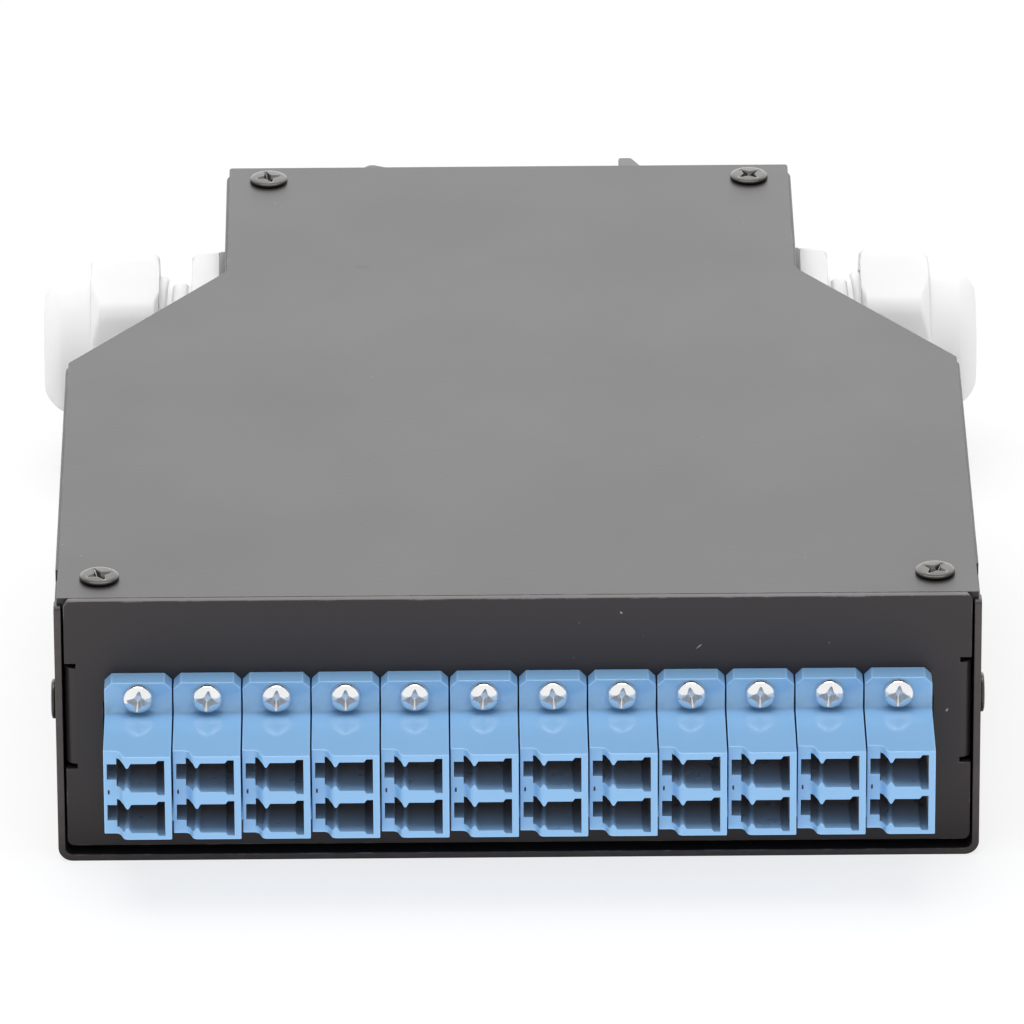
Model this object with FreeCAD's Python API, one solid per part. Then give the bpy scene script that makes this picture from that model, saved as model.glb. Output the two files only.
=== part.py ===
import FreeCAD
import Part
import math
import os

# Fibre termination box for a 35 mm rail: a folded sheet enclosure, house-shaped in plan,
# with twelve duplex adapters in its front panel, two cable glands on its neck and a sprung rail clip.
# Millimetres. +X is right, +Y runs from the adapters to the rail, +Z is up.
# The origin is the middle of the base's flat underside.

# Clearances, radial or per face
TAPPED_GAP = 0.05
HOLE_GAP = 0.2
SEAT_GAP = 0.3

# Adapter port, seen from the front: widths run from the right wall to the left one
PORT_RIGHT_WALL = 0.92
PORT_WIDTH = 4.6
PORT_HEIGHT = 4.35
KEYWAY_WIDTH = 1.2
KEYWAY_DEPTH = 0.45
KEYWAY_SLOPE = 0.3
RIDGE_WIDTH = 1.05
RIDGE_HEIGHT = 0.7
RIDGE_TAPER = 0.4
CHANNEL_WIDTH = 0.95
CHANNEL_INSET = 0.05
LATCH_SLOT_WIDTH = 1.33
LATCH_SLOT_INSET = 1.0
PORT_LEFT_WALL = 0.45
PORT_DIVIDER = 1.9
PORT_OUTER_WALL = 1.05

# Adapter body and flange
ADAPTER_COUNT = 12
ADAPTER_GAP = 0.2
ADAPTER_Z = 18.0
ADAPTER_FRONT = 13.2
ADAPTER_REAR = 10.0
FLANGE_THICKNESS = 3.2
FLANGE_CHAMFER = 1.0
FLANGE_RIM = 0.15
SEPTUM = 4.0
BROW_FLAT = 2.05
BROW_RAMP = 0.7
BROW_SETBACK = 1.95
BROW_ROUND = 0.8
SLEEVE_BORE = 1.25
SLEEVE_WALL = 0.18
SLEEVE_LENGTH = 6.8
SLEEVE_SLIT = 0.25
HOLDER_WALL = 0.75

# Adapter screws
ADAPTER_SCREW = 2.0
ADAPTER_SCREW_HEAD = 4.2
ADAPTER_SCREW_HEAD_HEIGHT = 1.5
ADAPTER_SCREW_HEAD_GAP = 0.4
ADAPTER_SCREW_LENGTH = 6.0

# Enclosure
ROW_MARGIN = 6.85
NECK_WIDTH = 83.0
BODY_LENGTH = 77.5
SHOULDER_LENGTH = 31.0
NECK_LENGTH = 36.5
HEIGHT = 40.0
SHEET = 1.0
INNER_BEND = 1.0
CORNER_EXTRA = 0.4
WALL_TIP = 1.0

# Lid, and the wall tabs that it is screwed to
LID_SHEET = 1.0
LID_SETBACK = 0.4
LID_CORNER = 0.5
LID_TAB_WIDTH = 8.0
LID_TAB_REACH = 10.5
LID_TAB_RELIEF = 0.8
LID_SCREW_SIDE = 6.2
LID_SCREW_FRONT = 7.2
LID_SCREW_REAR = 5.2
REAR_TAB_SHIFT = 1.5
BURR_WALL = 0.8
BURR_HEIGHT = 1.0

# Front panel
PANEL_SHEET = 1.2
PANEL_BOTTOM = 2.4
PANEL_CORNER = 1.0
PANEL_INNER_BEND = 0.4
PANEL_TAB_HEIGHT = 14.7
PANEL_TAB_Z = 22.4
PANEL_TAB_REACH = 11.0
PANEL_RELIEF = 0.7
PANEL_SCREW_Y = 5.6
WINDOW_GAP = 0.25

# Case screws: lid, panel, clip and splice tray
CASE_SCREW = 3.0
CASE_SCREW_HEAD = 5.5
CASE_SCREW_HEAD_HEIGHT = 0.7
CASE_SCREW_LENGTH = 5.0
HEAD_CHAMFER = 0.25

# Cable gland: radii build up from the cable bore, lengths run outward from the neck wall
CABLE_BORE = 12.0
SEAL_WALL = 1.2
SEAL_LENGTH = 7.5
GLAND_GAP = 0.25
SEAT_STEP = 0.5
CLAW_TIP_WALL = 0.4
CLAW_ROOT_WALL = 1.0
CLAW_LENGTH = 3.5
CLAW_COUNT = 8
CLAW_SLIT = 1.2
THREAD_STEP = 1.45
THREAD_GAP = 0.15
THREAD_ENGAGED = 5.2
NUT_WALL = 1.95
NUT_TRAVEL = 3.0
NUT_STANDOFF = 4.8
NUT_HEX_LENGTH = 10.0
NUT_DOME_LENGTH = 6.9
DOME_STEP = 1.0
DOME_TAPER = 1.0
DOME_ROUND = 2.65
DOME_LIP = 0.4
DOME_SAG = 0.4
NUT_MOUTH_GAP = 0.6
HEX_CORNER_CUT = 0.6
HEX_CHAMFER = 0.8
NUT_CHAMFER = 1.4
HEX_EDGE = 0.2
HEX_TILT = 12.7
WASHER_THICKNESS = 1.0
WASHER_OVERHANG = 3.25
GLAND_FLANGE = 4.0
GLAND_INNER_THREAD = 8.0
LOCKNUT_THICKNESS = 5.0
LOCKNUT_WALL = 2.95

# Rail clip: depths run backward from the rear wall
RAIL_WIDTH = 35.0
RAIL_LIP = 1.0
RAIL_GAP = 0.2
CLIP_WIDTH = 31.0
CLIP_ROOF = 1.4
CLIP_HOOK_WALL = 3.7
CLIP_HOOK_OVERLAP = 1.6
CLIP_HOOK_TIP = 1.9
CLIP_HOOK_SLOPE = 1.9
CLIP_HOOK_CREST = 0.8
CLIP_SCREW_X = 4.0
CLIP_SCREW_HEAD_HEIGHT = 1.8
CLIP_SCREW_LENGTH = 4.5
LATCH_PLATE = 3.6
LATCH_PLATE_WIDTH = 14.0
LATCH_PLATE_REACH = 29.0
LATCH_NOSE_OVERLAP = 1.1
LATCH_NOSE_HEIGHT = 5.7
LATCH_NOSE_CREST = 1.9
LATCH_RISER = 2.4
LATCH_TAB_GAP = 3.4
LATCH_TAB = 3.0
LATCH_TAB_HEIGHT = 11.1
LATCH_TAB_WIDTH = 24.0
LATCH_TAB_CHAMFER = 1.4
SPRING_LENGTH = 15.0
SPRING_WIDTH = 3.2
SPRING_STRIP = 0.3
SPRING_FOLDS = 6
SPRING_WALL = 2.0
SPRING_PEG = 2.0

# Splice tray and its combs
TRAY_WIDTH = 72.0
TRAY_DEPTH = 54.0
TRAY_CORNER = 12.0
TRAY_RIM = 9.0
TRAY_WALL = 1.5
TRAY_FLOOR = 1.5
TRAY_DISTANCE = 48.0
TRAY_PORT_WIDTH = 12.0
TRAY_LIP_REACH = 5.0
TRAY_LIP_WIDTH = 8.0
STANDOFF_HEIGHT = 4.0
STANDOFF_WALL = 1.5
STANDOFF_SPIGOT = 1.0
STANDOFF_INSET = 8.0
COMB_SPACING = 30.0
COMB_WIDTH = 5.0
COMB_HEIGHT = 6.5
COMB_SLOTS = 8
COMB_SLOT = 2.6
COMB_TOOTH = 0.9
COMB_BASE = 1.6

# Adapter sizes that follow from the port
PORT_PITCH = PORT_HEIGHT + PORT_DIVIDER
ADAPTER_WIDTH = (PORT_RIGHT_WALL + PORT_WIDTH + RIDGE_WIDTH + CHANNEL_WIDTH
                 + LATCH_SLOT_WIDTH + PORT_LEFT_WALL)
ADAPTER_HEIGHT = 2 * PORT_HEIGHT + PORT_DIVIDER + 2 * PORT_OUTER_WALL
ADAPTER_PITCH = ADAPTER_WIDTH + ADAPTER_GAP
ADAPTER_SCREW_RISE = ADAPTER_HEIGHT / 2 + ADAPTER_SCREW_HEAD_GAP + ADAPTER_SCREW_HEAD / 2
FLANGE_HEIGHT = 2 * (ADAPTER_SCREW_RISE + ADAPTER_SCREW_HEAD / 2 + FLANGE_RIM)
ADAPTER_TIP = -FLANGE_THICKNESS - ADAPTER_FRONT
SLEEVE_RADIUS = SLEEVE_BORE / 2 + SLEEVE_WALL
HOLDER_BORE = SLEEVE_RADIUS + TAPPED_GAP
ROW_WIDTH = ADAPTER_COUNT * ADAPTER_PITCH - ADAPTER_GAP

# Enclosure planes
WIDTH = ROW_WIDTH + 2 * ROW_MARGIN
DEPTH = BODY_LENGTH + SHOULDER_LENGTH + NECK_LENGTH
FRONT = -DEPTH / 2
REAR = DEPTH / 2
NECK_START = REAR - NECK_LENGTH
WALL_TOP = HEIGHT - LID_SHEET
OUTER_BEND = INNER_BEND + SHEET
CORNER_RADIUS = OUTER_BEND + CORNER_EXTRA
MIDDLE_Z = HEIGHT / 2
PANEL_HALF = WIDTH / 2 - SHEET - SEAT_GAP
PANEL_BEND = PANEL_INNER_BEND + PANEL_SHEET
TAPPED_CASE = CASE_SCREW / 2 + TAPPED_GAP
CLEAR_CASE = CASE_SCREW / 2 + HOLE_GAP

# Gland radii and stations
SEAL_BORE_RADIUS = CABLE_BORE / 2
SEAL_RADIUS = SEAL_BORE_RADIUS + SEAL_WALL
GLAND_SEAT_RADIUS = SEAL_RADIUS + GLAND_GAP
GLAND_BORE_RADIUS = GLAND_SEAT_RADIUS - SEAT_STEP
CLAW_TIP_RADIUS = GLAND_SEAT_RADIUS + CLAW_TIP_WALL
CLAW_ROOT_RADIUS = GLAND_SEAT_RADIUS + CLAW_ROOT_WALL
THREAD_RADIUS = CLAW_ROOT_RADIUS + THREAD_STEP
NUT_BORE_RADIUS = THREAD_RADIUS + THREAD_GAP
HEX_FLAT_RADIUS = NUT_BORE_RADIUS + NUT_WALL
GLAND_FACE = WASHER_THICKNESS + GLAND_FLANGE
NUT_START = GLAND_FACE + NUT_STANDOFF
NUT_END = NUT_START + NUT_HEX_LENGTH + NUT_DOME_LENGTH
THREAD_END = NUT_START + THREAD_ENGAGED
CLAW_END = THREAD_END + CLAW_LENGTH
NUT_SHOULDER = CLAW_END + NUT_TRAVEL + NUT_MOUTH_GAP
SEAL_END = NUT_SHOULDER - GLAND_GAP
SEAL_START = SEAL_END - SEAL_LENGTH
GLAND_SEAT_START = SEAL_START - NUT_TRAVEL - GLAND_GAP
GLAND_Y = NECK_START + NECK_LENGTH / 2

# Clip stations, from the middle of the rail and from the rear wall
LATCH_LIFT = SEAT_GAP
CHANNEL_DEPTH = LATCH_PLATE + 2 * LATCH_LIFT
CLIP_SEAT = CHANNEL_DEPTH + CLIP_ROOF
CLIP_GRIP = CLIP_SEAT + RAIL_LIP + RAIL_GAP
HOOK_WALL_X = RAIL_WIDTH / 2 + RAIL_GAP
LATCH_NOSE_X = RAIL_WIDTH / 2 - LATCH_NOSE_OVERLAP
CLIP_END_X = LATCH_NOSE_X - SEAT_GAP
LATCH_TAB_X = HOOK_WALL_X + LATCH_RISER + LATCH_TAB_GAP
LATCH_TIP_X = HOOK_WALL_X - LATCH_PLATE_REACH
SPRING_START = LATCH_TIP_X + SPRING_WALL
SPRING_END = SPRING_START + SPRING_LENGTH
POCKET_END = SPRING_END + SPRING_PEG + SEAT_GAP
SPRING_HALF_WIDTH = SPRING_WIDTH / 2 + SEAT_GAP
CLIP_SCREW_RISE = (LATCH_PLATE_WIDTH + CLIP_WIDTH) / 4 + SEAT_GAP / 2

# Tray stations
TRAY_Y = FRONT + TRAY_DISTANCE + TRAY_DEPTH / 2
TRAY_Z = SHEET + STANDOFF_HEIGHT
STANDOFF_RADIUS = CASE_SCREW / 2 + STANDOFF_WALL
STANDOFF_Y = TRAY_DEPTH / 2 - STANDOFF_INSET
CUT_MARGIN = 5.0

UP = FreeCAD.Vector(0, 0, 1)
BACK = FreeCAD.Vector(0, 1, 0)
RIGHT = FreeCAD.Vector(1, 0, 0)


def box(x_range, y_range, z_range):
    """Block between pairs of limits."""
    low = FreeCAD.Vector(x_range[0], y_range[0], z_range[0])
    return Part.makeBox(x_range[1] - x_range[0], y_range[1] - y_range[0], z_range[1] - z_range[0], low)


def rod(radius, start, direction, length):
    """Round bar from a start point along a direction."""
    return Part.makeCylinder(radius, length, start, direction)


def outline(corners):
    """Closed plan wire with a round at each (x, y, radius) corner; radius 0 leaves it sharp."""
    points = [FreeCAD.Vector(x, y, 0) for x, y, _ in corners]
    edges = []
    ends = []
    for i, (_, _, radius) in enumerate(corners):
        here = points[i]
        to_last = (points[i - 1] - here).normalize()
        to_next = (points[(i + 1) % len(points)] - here).normalize()
        if radius <= 0:
            ends.append((here, here))
            continue
        half = to_last.getAngle(to_next) / 2
        bisector = (to_last + to_next).normalize()
        middle = here + bisector * (radius / math.sin(half) - radius)
        reach = radius / math.tan(half)
        ends.append((here + to_last * reach, here + to_next * reach))
        edges.append(Part.Arc(ends[-1][0], middle, ends[-1][1]).toShape())
    for i, (_, leave) in enumerate(ends):
        arrive = ends[(i + 1) % len(ends)][0]
        edges.append(Part.makeLine(leave, arrive))
    return Part.Wire(Part.__sortEdges__(edges))


def prism(wire, low, high):
    """Plan wire raised between two heights."""
    face = Part.Face(wire)
    face.translate(UP * low)
    return face.extrude(UP * (high - low))


def oriented(shape, along, across, origin):
    """Shape with its own X, Y and origin laid on two square directions and a point."""
    normal = along.cross(across)
    matrix = FreeCAD.Matrix(
        along.x, across.x, normal.x, origin.x,
        along.y, across.y, normal.y, origin.y,
        along.z, across.z, normal.z, origin.z,
        0, 0, 0, 1)
    return shape.transformed(matrix)


def turned(points):
    """Solid of revolution about X from (station, radius) points; three-point tuples are arcs."""
    edges = []
    for start, end in zip(points, points[1:] + points[:1]):
        begin = FreeCAD.Vector(start[-1][0], start[-1][1], 0)
        finish = FreeCAD.Vector(end[-1][0], end[-1][1], 0)
        if len(end) == 2:
            through = FreeCAD.Vector(end[0][0], end[0][1], 0)
            edges.append(Part.Arc(begin, through, finish).toShape())
        else:
            edges.append(Part.makeLine(begin, finish))
    face = Part.Face(Part.Wire(edges))
    return face.revolve(FreeCAD.Vector(0, 0, 0), RIGHT, 360)


def ring(start, end, inner, outer):
    """Plain tube about X between two stations."""
    return turned([((start, inner),), ((end, inner),), ((end, outer),), ((start, outer),)])


def screw(size, head, head_height, length):
    """Low-headed screw on Z, with its head seated on the plane Z = 0."""
    rim = FreeCAD.Vector(0, 0, head_height - HEAD_CHAMFER)
    cap = rod(head / 2, FreeCAD.Vector(0, 0, 0), UP, head_height - HEAD_CHAMFER)
    crown = Part.makeCone(head / 2, head / 2 - HEAD_CHAMFER, HEAD_CHAMFER, rim, UP)
    shank = rod(size / 2, FreeCAD.Vector(0, 0, -length), UP, length)
    return cap.fuse([crown, shank]).removeSplitter()


def folded_tab(width, reach, root, sheet, bend):
    """Sheet strip that rises along Y and folds over to X; the outer corner is the origin."""
    inner = max(bend - sheet, 0)
    strip = outline([
        (0, -root, 0), (0, 0, bend), (reach, 0, 0), (reach, -sheet, 0),
        (sheet, -sheet, inner), (sheet, -root, 0)])
    return prism(strip, -width / 2, width / 2)


def wall_outline(inset, radius):
    """Plan of the walls' outer faces with round corners, run past the open front and moved inward."""
    open_end = FRONT - CUT_MARGIN
    shoulder = NECK_START - SHOULDER_LENGTH
    half = WIDTH / 2
    neck = NECK_WIDTH / 2
    right = [(half, open_end), (half, shoulder), (neck, NECK_START), (neck, REAR)]
    left = [(-x, y) for x, y in reversed(right)]
    wire = outline([(x, y, radius) for x, y in right + left])
    if inset == 0:
        return wire
    return wire.makeOffset2D(-inset)


def bottom_edges(solid, height):
    """Edges of a solid that lie in one level plane."""
    level = [edge for edge in solid.Edges if abs(edge.BoundBox.ZMin - height) < 1e-6]
    return [edge for edge in level if abs(edge.BoundBox.ZMax - height) < 1e-6]


def lid_screw_places():
    """Lid screw centres as (x, y)."""
    front_x = WIDTH / 2 - LID_SCREW_SIDE
    rear_x = NECK_WIDTH / 2 - LID_SCREW_SIDE
    front_y = FRONT + LID_SCREW_FRONT
    rear_y = REAR - LID_SCREW_REAR
    return [(-front_x, front_y), (front_x, front_y), (-rear_x, rear_y), (rear_x, rear_y)]


def lid_tabs():
    """Four wall tabs for the lid screws, and the wall notches that they fold out of."""
    root = OUTER_BEND + LID_TAB_RELIEF
    notch_half = LID_TAB_WIDTH / 2 + LID_TAB_RELIEF
    tabs = []
    notches = []
    for x, y in lid_screw_places():
        side = math.copysign(1, x)
        strip = folded_tab(LID_TAB_WIDTH, LID_TAB_REACH, root, SHEET, OUTER_BEND)
        if y < 0:
            corner = FreeCAD.Vector(side * WIDTH / 2, y, WALL_TOP)
            tabs.append(oriented(strip, RIGHT * -side, UP, corner))
            faces = sorted((side * WIDTH / 2, side * (WIDTH / 2 - SHEET)))
            notches.append(box(faces, (y - notch_half, y + notch_half), (WALL_TOP - root, HEIGHT)))
        else:
            middle = x - side * REAR_TAB_SHIFT
            corner = FreeCAD.Vector(middle, REAR, WALL_TOP)
            tabs.append(oriented(strip, BACK * -1, UP, corner))
            span = (middle - notch_half, middle + notch_half)
            notches.append(box(span, (REAR - SHEET, REAR), (WALL_TOP - root, HEIGHT)))
    return tabs, notches


def base_tray():
    """Folded floor and walls, open at the front, with tabs and holes for all that is screwed to it."""
    outer = prism(wall_outline(0, CORNER_RADIUS), 0, WALL_TOP)
    outer = outer.makeFillet(OUTER_BEND, bottom_edges(outer, 0))
    inner = prism(wall_outline(SHEET, CORNER_RADIUS), SHEET, HEIGHT)
    inner = inner.makeFillet(INNER_BEND, bottom_edges(inner, SHEET))
    mouth = WIDTH / 2 - SHEET
    runout = box((-WIDTH, WIDTH), (FRONT - 2 * CUT_MARGIN, FRONT), (-CUT_MARGIN, HEIGHT))
    tip = box((-WIDTH, WIDTH), (FRONT, FRONT + WALL_TIP), (WALL_TOP - WALL_TIP, HEIGHT))
    tip_axis = FreeCAD.Vector(-WIDTH, FRONT + WALL_TIP, WALL_TOP - WALL_TIP)
    tip = tip.cut(rod(WALL_TIP, tip_axis, RIGHT, 2 * WIDTH))
    tray = outer.cut([inner, runout, tip])
    tabs, notches = lid_tabs()
    tray = tray.cut(notches).fuse(tabs)
    burrs = []
    holes = []
    for x, y in lid_screw_places():
        foot = FreeCAD.Vector(x, y, WALL_TOP - SHEET - BURR_HEIGHT)
        burrs.append(rod(TAPPED_CASE + BURR_WALL, foot, UP, BURR_HEIGHT))
        holes.append(rod(TAPPED_CASE, foot, UP, SHEET + BURR_HEIGHT))
    gland_hole = THREAD_RADIUS + HOLE_GAP
    panel_y = FRONT + PANEL_SCREW_Y
    for side in (-1, 1):
        gland_start = FreeCAD.Vector(side * (NECK_WIDTH / 2 - SHEET), GLAND_Y, MIDDLE_Z)
        holes.append(rod(gland_hole, gland_start, RIGHT * side, SHEET))
        panel_start = FreeCAD.Vector(side * mouth, panel_y, PANEL_TAB_Z)
        holes.append(rod(CLEAR_CASE, panel_start, RIGHT * side, SHEET))
        clip_z = MIDDLE_Z + side * CLIP_SCREW_RISE
        clip_start = FreeCAD.Vector(-CLIP_SCREW_X, REAR - SHEET, clip_z)
        holes.append(rod(CLEAR_CASE, clip_start, BACK, SHEET))
        spigot = FreeCAD.Vector(0, TRAY_Y + side * STANDOFF_Y, 0)
        holes.append(rod(STANDOFF_RADIUS - STANDOFF_SPIGOT / 2 + TAPPED_GAP, spigot, UP, SHEET))
    return tray.fuse(burrs).cut(holes).removeSplitter()


def lid():
    """Flat plate on the walls, butting against the back of the front panel."""
    plate = prism(wall_outline(LID_SETBACK, LID_SETBACK + LID_CORNER), WALL_TOP, HEIGHT)
    front_edge = FRONT + PANEL_SHEET
    cuts = [box((-WIDTH, WIDTH), (FRONT - 2 * CUT_MARGIN, front_edge), (0, 2 * HEIGHT))]
    for x, y in lid_screw_places():
        cuts.append(rod(CLEAR_CASE, FreeCAD.Vector(x, y, WALL_TOP), UP, LID_SHEET))
    return plate.cut(cuts)


def adapter_places():
    """Middles of the adapters along X."""
    first = -(ADAPTER_COUNT - 1) * ADAPTER_PITCH / 2
    return [first + i * ADAPTER_PITCH for i in range(ADAPTER_COUNT)]


def front_panel():
    """Panel plate with one long adapter window, tapped screw holes and a folded tab at each end."""
    plate_wire = outline([
        (-PANEL_HALF, PANEL_BOTTOM, PANEL_CORNER), (PANEL_HALF, PANEL_BOTTOM, PANEL_CORNER),
        (PANEL_HALF, HEIGHT, PANEL_CORNER), (-PANEL_HALF, HEIGHT, PANEL_CORNER)])
    half_row = ROW_WIDTH / 2 + WINDOW_GAP
    half_window = ADAPTER_HEIGHT / 2 + WINDOW_GAP
    window = box((-half_row, half_row), (FRONT, FRONT + PANEL_SHEET),
                 (ADAPTER_Z - half_window, ADAPTER_Z + half_window))
    origin = FreeCAD.Vector(0, FRONT + PANEL_SHEET, 0)
    panel = oriented(prism(plate_wire, 0, PANEL_SHEET), RIGHT, UP, origin)
    notch_half = PANEL_TAB_HEIGHT / 2 + PANEL_RELIEF
    cuts = [window]
    tabs = []
    holes = []
    for side in (-1, 1):
        span = sorted((side * (PANEL_HALF - PANEL_BEND), side * WIDTH / 2))
        cuts.append(box(span, (FRONT, FRONT + PANEL_SHEET),
                        (PANEL_TAB_Z - notch_half, PANEL_TAB_Z + notch_half)))
        root = PANEL_BEND + PANEL_RELIEF
        strip = folded_tab(PANEL_TAB_HEIGHT, PANEL_TAB_REACH, root, PANEL_SHEET, PANEL_BEND)
        corner = FreeCAD.Vector(side * PANEL_HALF, FRONT, PANEL_TAB_Z)
        tabs.append(oriented(strip, BACK, RIGHT * side, corner))
        inner_face = side * (PANEL_HALF - PANEL_SHEET)
        burr = FreeCAD.Vector(inner_face, FRONT + PANEL_SCREW_Y, PANEL_TAB_Z)
        tabs.append(rod(TAPPED_CASE + BURR_WALL, burr, RIGHT * -side, BURR_HEIGHT))
        hole = FreeCAD.Vector(side * PANEL_HALF, FRONT + PANEL_SCREW_Y, PANEL_TAB_Z)
        holes.append(rod(TAPPED_CASE, hole, RIGHT * -side, PANEL_SHEET + BURR_HEIGHT))
    for x in adapter_places():
        for rise in (-ADAPTER_SCREW_RISE, ADAPTER_SCREW_RISE):
            tapped = FreeCAD.Vector(x, FRONT, ADAPTER_Z + rise)
            holes.append(rod(ADAPTER_SCREW / 2 + TAPPED_GAP, tapped, BACK, PANEL_SHEET))
    return panel.cut(cuts).fuse(tabs).cut(holes).removeSplitter()


def port_outline(middle):
    """Keyed port section about a height: square bore, corner keyways, ridges and latch channels."""
    right = ADAPTER_WIDTH / 2 - PORT_RIGHT_WALL
    keyway = right - KEYWAY_WIDTH
    ridge = right - PORT_WIDTH
    channel = ridge - RIDGE_WIDTH
    slot = channel - CHANNEL_WIDTH
    left = slot - LATCH_SLOT_WIDTH
    half = PORT_HEIGHT / 2
    upper = [
        (right, half + KEYWAY_DEPTH), (keyway + KEYWAY_SLOPE, half + KEYWAY_DEPTH), (keyway, half),
        (ridge, half), (ridge - RIDGE_TAPER, half - RIDGE_HEIGHT),
        (channel + RIDGE_TAPER, half - RIDGE_HEIGHT),
        (channel, half - CHANNEL_INSET), (slot, half - CHANNEL_INSET),
        (slot, half - LATCH_SLOT_INSET), (left, half - LATCH_SLOT_INSET)]
    lower = [(x, -z) for x, z in reversed(upper)]
    return outline([(x, middle + z, 0) for x, z in upper + lower])


def adapter():
    """Duplex adapter about its own middle: the flange's back is Y = 0 and the front is -Y."""
    half_width = ADAPTER_WIDTH / 2
    body = prism(adapter_plan(), -ADAPTER_HEIGHT / 2, ADAPTER_HEIGHT / 2)
    top = FLANGE_HEIGHT / 2
    cut_x = half_width - FLANGE_CHAMFER
    cut_z = top - FLANGE_CHAMFER
    half_flange = [(half_width, -cut_z), (half_width, cut_z), (cut_x, top)]
    flange_points = half_flange + [(-x, z) for x, z in reversed(half_flange)]
    flange_wire = outline([(x, z, 0) for x, z in flange_points + [(-cut_x, -top), (cut_x, -top)]])
    flange = oriented(prism(flange_wire, 0, FLANGE_THICKNESS), RIGHT, UP, FreeCAD.Vector(0, 0, 0))
    mating = -FLANGE_THICKNESS
    cuts = []
    holders = []
    for middle in (-PORT_PITCH / 2, PORT_PITCH / 2):
        wire = port_outline(middle)
        front_depth = ADAPTER_FRONT - SEPTUM / 2
        rear_depth = ADAPTER_REAR - mating - SEPTUM / 2
        front_end = FreeCAD.Vector(0, mating - SEPTUM / 2, 0)
        rear_end = FreeCAD.Vector(0, ADAPTER_REAR, 0)
        cuts.append(oriented(prism(wire, 0, front_depth), RIGHT, UP, front_end))
        cuts.append(oriented(prism(wire, 0, rear_depth), RIGHT, UP, rear_end))
        axis = FreeCAD.Vector(port_axis(), mating - SLEEVE_LENGTH / 2, middle)
        holders.append((axis, rod(HOLDER_BORE + HOLDER_WALL, axis, BACK, SLEEVE_LENGTH)))
    for rise in (-ADAPTER_SCREW_RISE, ADAPTER_SCREW_RISE):
        hole = FreeCAD.Vector(0, -FLANGE_THICKNESS, rise)
        cuts.append(rod(ADAPTER_SCREW / 2 + HOLE_GAP, hole, BACK, FLANGE_THICKNESS))
    shell = body.fuse(flange).cut(cuts).fuse([tube for _, tube in holders])
    bores = [rod(HOLDER_BORE, axis, BACK, SLEEVE_LENGTH) for axis, _ in holders]
    return shell.cut(bores).removeSplitter()


def port_axis():
    """Where the ferrule axis lies across the adapter."""
    return ADAPTER_WIDTH / 2 - PORT_RIGHT_WALL - PORT_WIDTH / 2


def adapter_plan():
    """Plan of the adapter's body, set back in an S-curve on the latch side of its front face."""
    half = ADAPTER_WIDTH / 2
    flat = -half + BROW_FLAT
    crest = flat + BROW_RAMP
    floor = ADAPTER_TIP + BROW_SETBACK
    return outline([
        (half, ADAPTER_TIP, 0), (half, ADAPTER_REAR, 0), (-half, ADAPTER_REAR, 0),
        (-half, floor, 0), (flat, floor, BROW_ROUND), (crest, ADAPTER_TIP, BROW_ROUND)])


def alignment_sleeves():
    """One split sleeve in each adapter bore."""
    start = -FLANGE_THICKNESS - SLEEVE_LENGTH / 2
    sleeve = ring(0, SLEEVE_LENGTH, SLEEVE_BORE / 2, SLEEVE_RADIUS)
    sleeve = sleeve.cut(box((0, SLEEVE_LENGTH), (0, 2 * SLEEVE_RADIUS), (-SLEEVE_SLIT / 2, SLEEVE_SLIT / 2)))
    sleeves = []
    for x in adapter_places():
        for middle in (-PORT_PITCH / 2, PORT_PITCH / 2):
            place = FreeCAD.Vector(x + port_axis(), FRONT + start, ADAPTER_Z + middle)
            sleeves.append(oriented(sleeve, BACK, RIGHT, place))
    return Part.makeCompound(sleeves)


def adapter_screws():
    """Pan-head screws through both ears of each adapter into the panel."""
    plain = screw(ADAPTER_SCREW, ADAPTER_SCREW_HEAD, ADAPTER_SCREW_HEAD_HEIGHT, ADAPTER_SCREW_LENGTH)
    screws = []
    for x in adapter_places():
        for rise in (-ADAPTER_SCREW_RISE, ADAPTER_SCREW_RISE):
            seat = FreeCAD.Vector(x, FRONT - FLANGE_THICKNESS, ADAPTER_Z + rise)
            screws.append(oriented(plain, RIGHT, UP, seat))
    return Part.makeCompound(screws)


def lid_screws():
    """Low-headed screws through the lid into the wall tabs."""
    plain = screw(CASE_SCREW, CASE_SCREW_HEAD, CASE_SCREW_HEAD_HEIGHT, CASE_SCREW_LENGTH)
    places = [FreeCAD.Vector(x, y, HEIGHT) for x, y in lid_screw_places()]
    return Part.makeCompound([oriented(plain, RIGHT, BACK, place) for place in places])


def panel_screws():
    """One low-headed screw through each side wall into the panel's tab."""
    plain = screw(CASE_SCREW, CASE_SCREW_HEAD, CASE_SCREW_HEAD_HEIGHT, CASE_SCREW_LENGTH)
    screws = []
    for side in (-1, 1):
        seat = FreeCAD.Vector(side * WIDTH / 2, FRONT + PANEL_SCREW_Y, PANEL_TAB_Z)
        screws.append(oriented(plain, BACK, UP * side, seat))
    return Part.makeCompound(screws)


def hex_bar(start, end, flat_radius, chamfer_start, chamfer_end):
    """Hexagon about X with its corners turned down and its ends chamfered."""
    corner = flat_radius / math.cos(math.pi / 6)
    tilt = math.radians(90 - HEX_TILT)
    points = []
    for i in range(6):
        angle = tilt + math.pi / 6 + i * math.pi / 3
        points.append((-corner * math.cos(angle), corner * math.sin(angle), 0))
    bar = oriented(prism(outline(points), start, end), BACK, UP, FreeCAD.Vector(0, 0, 0))
    crest = corner - HEX_CORNER_CUT
    blank = turned([
        ((start, 0),), ((end, 0),), ((end, crest - chamfer_end),), ((end - chamfer_end, crest),),
        ((start + chamfer_start, crest),), ((start, crest - chamfer_start),)])
    return bar.common(blank)


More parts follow.
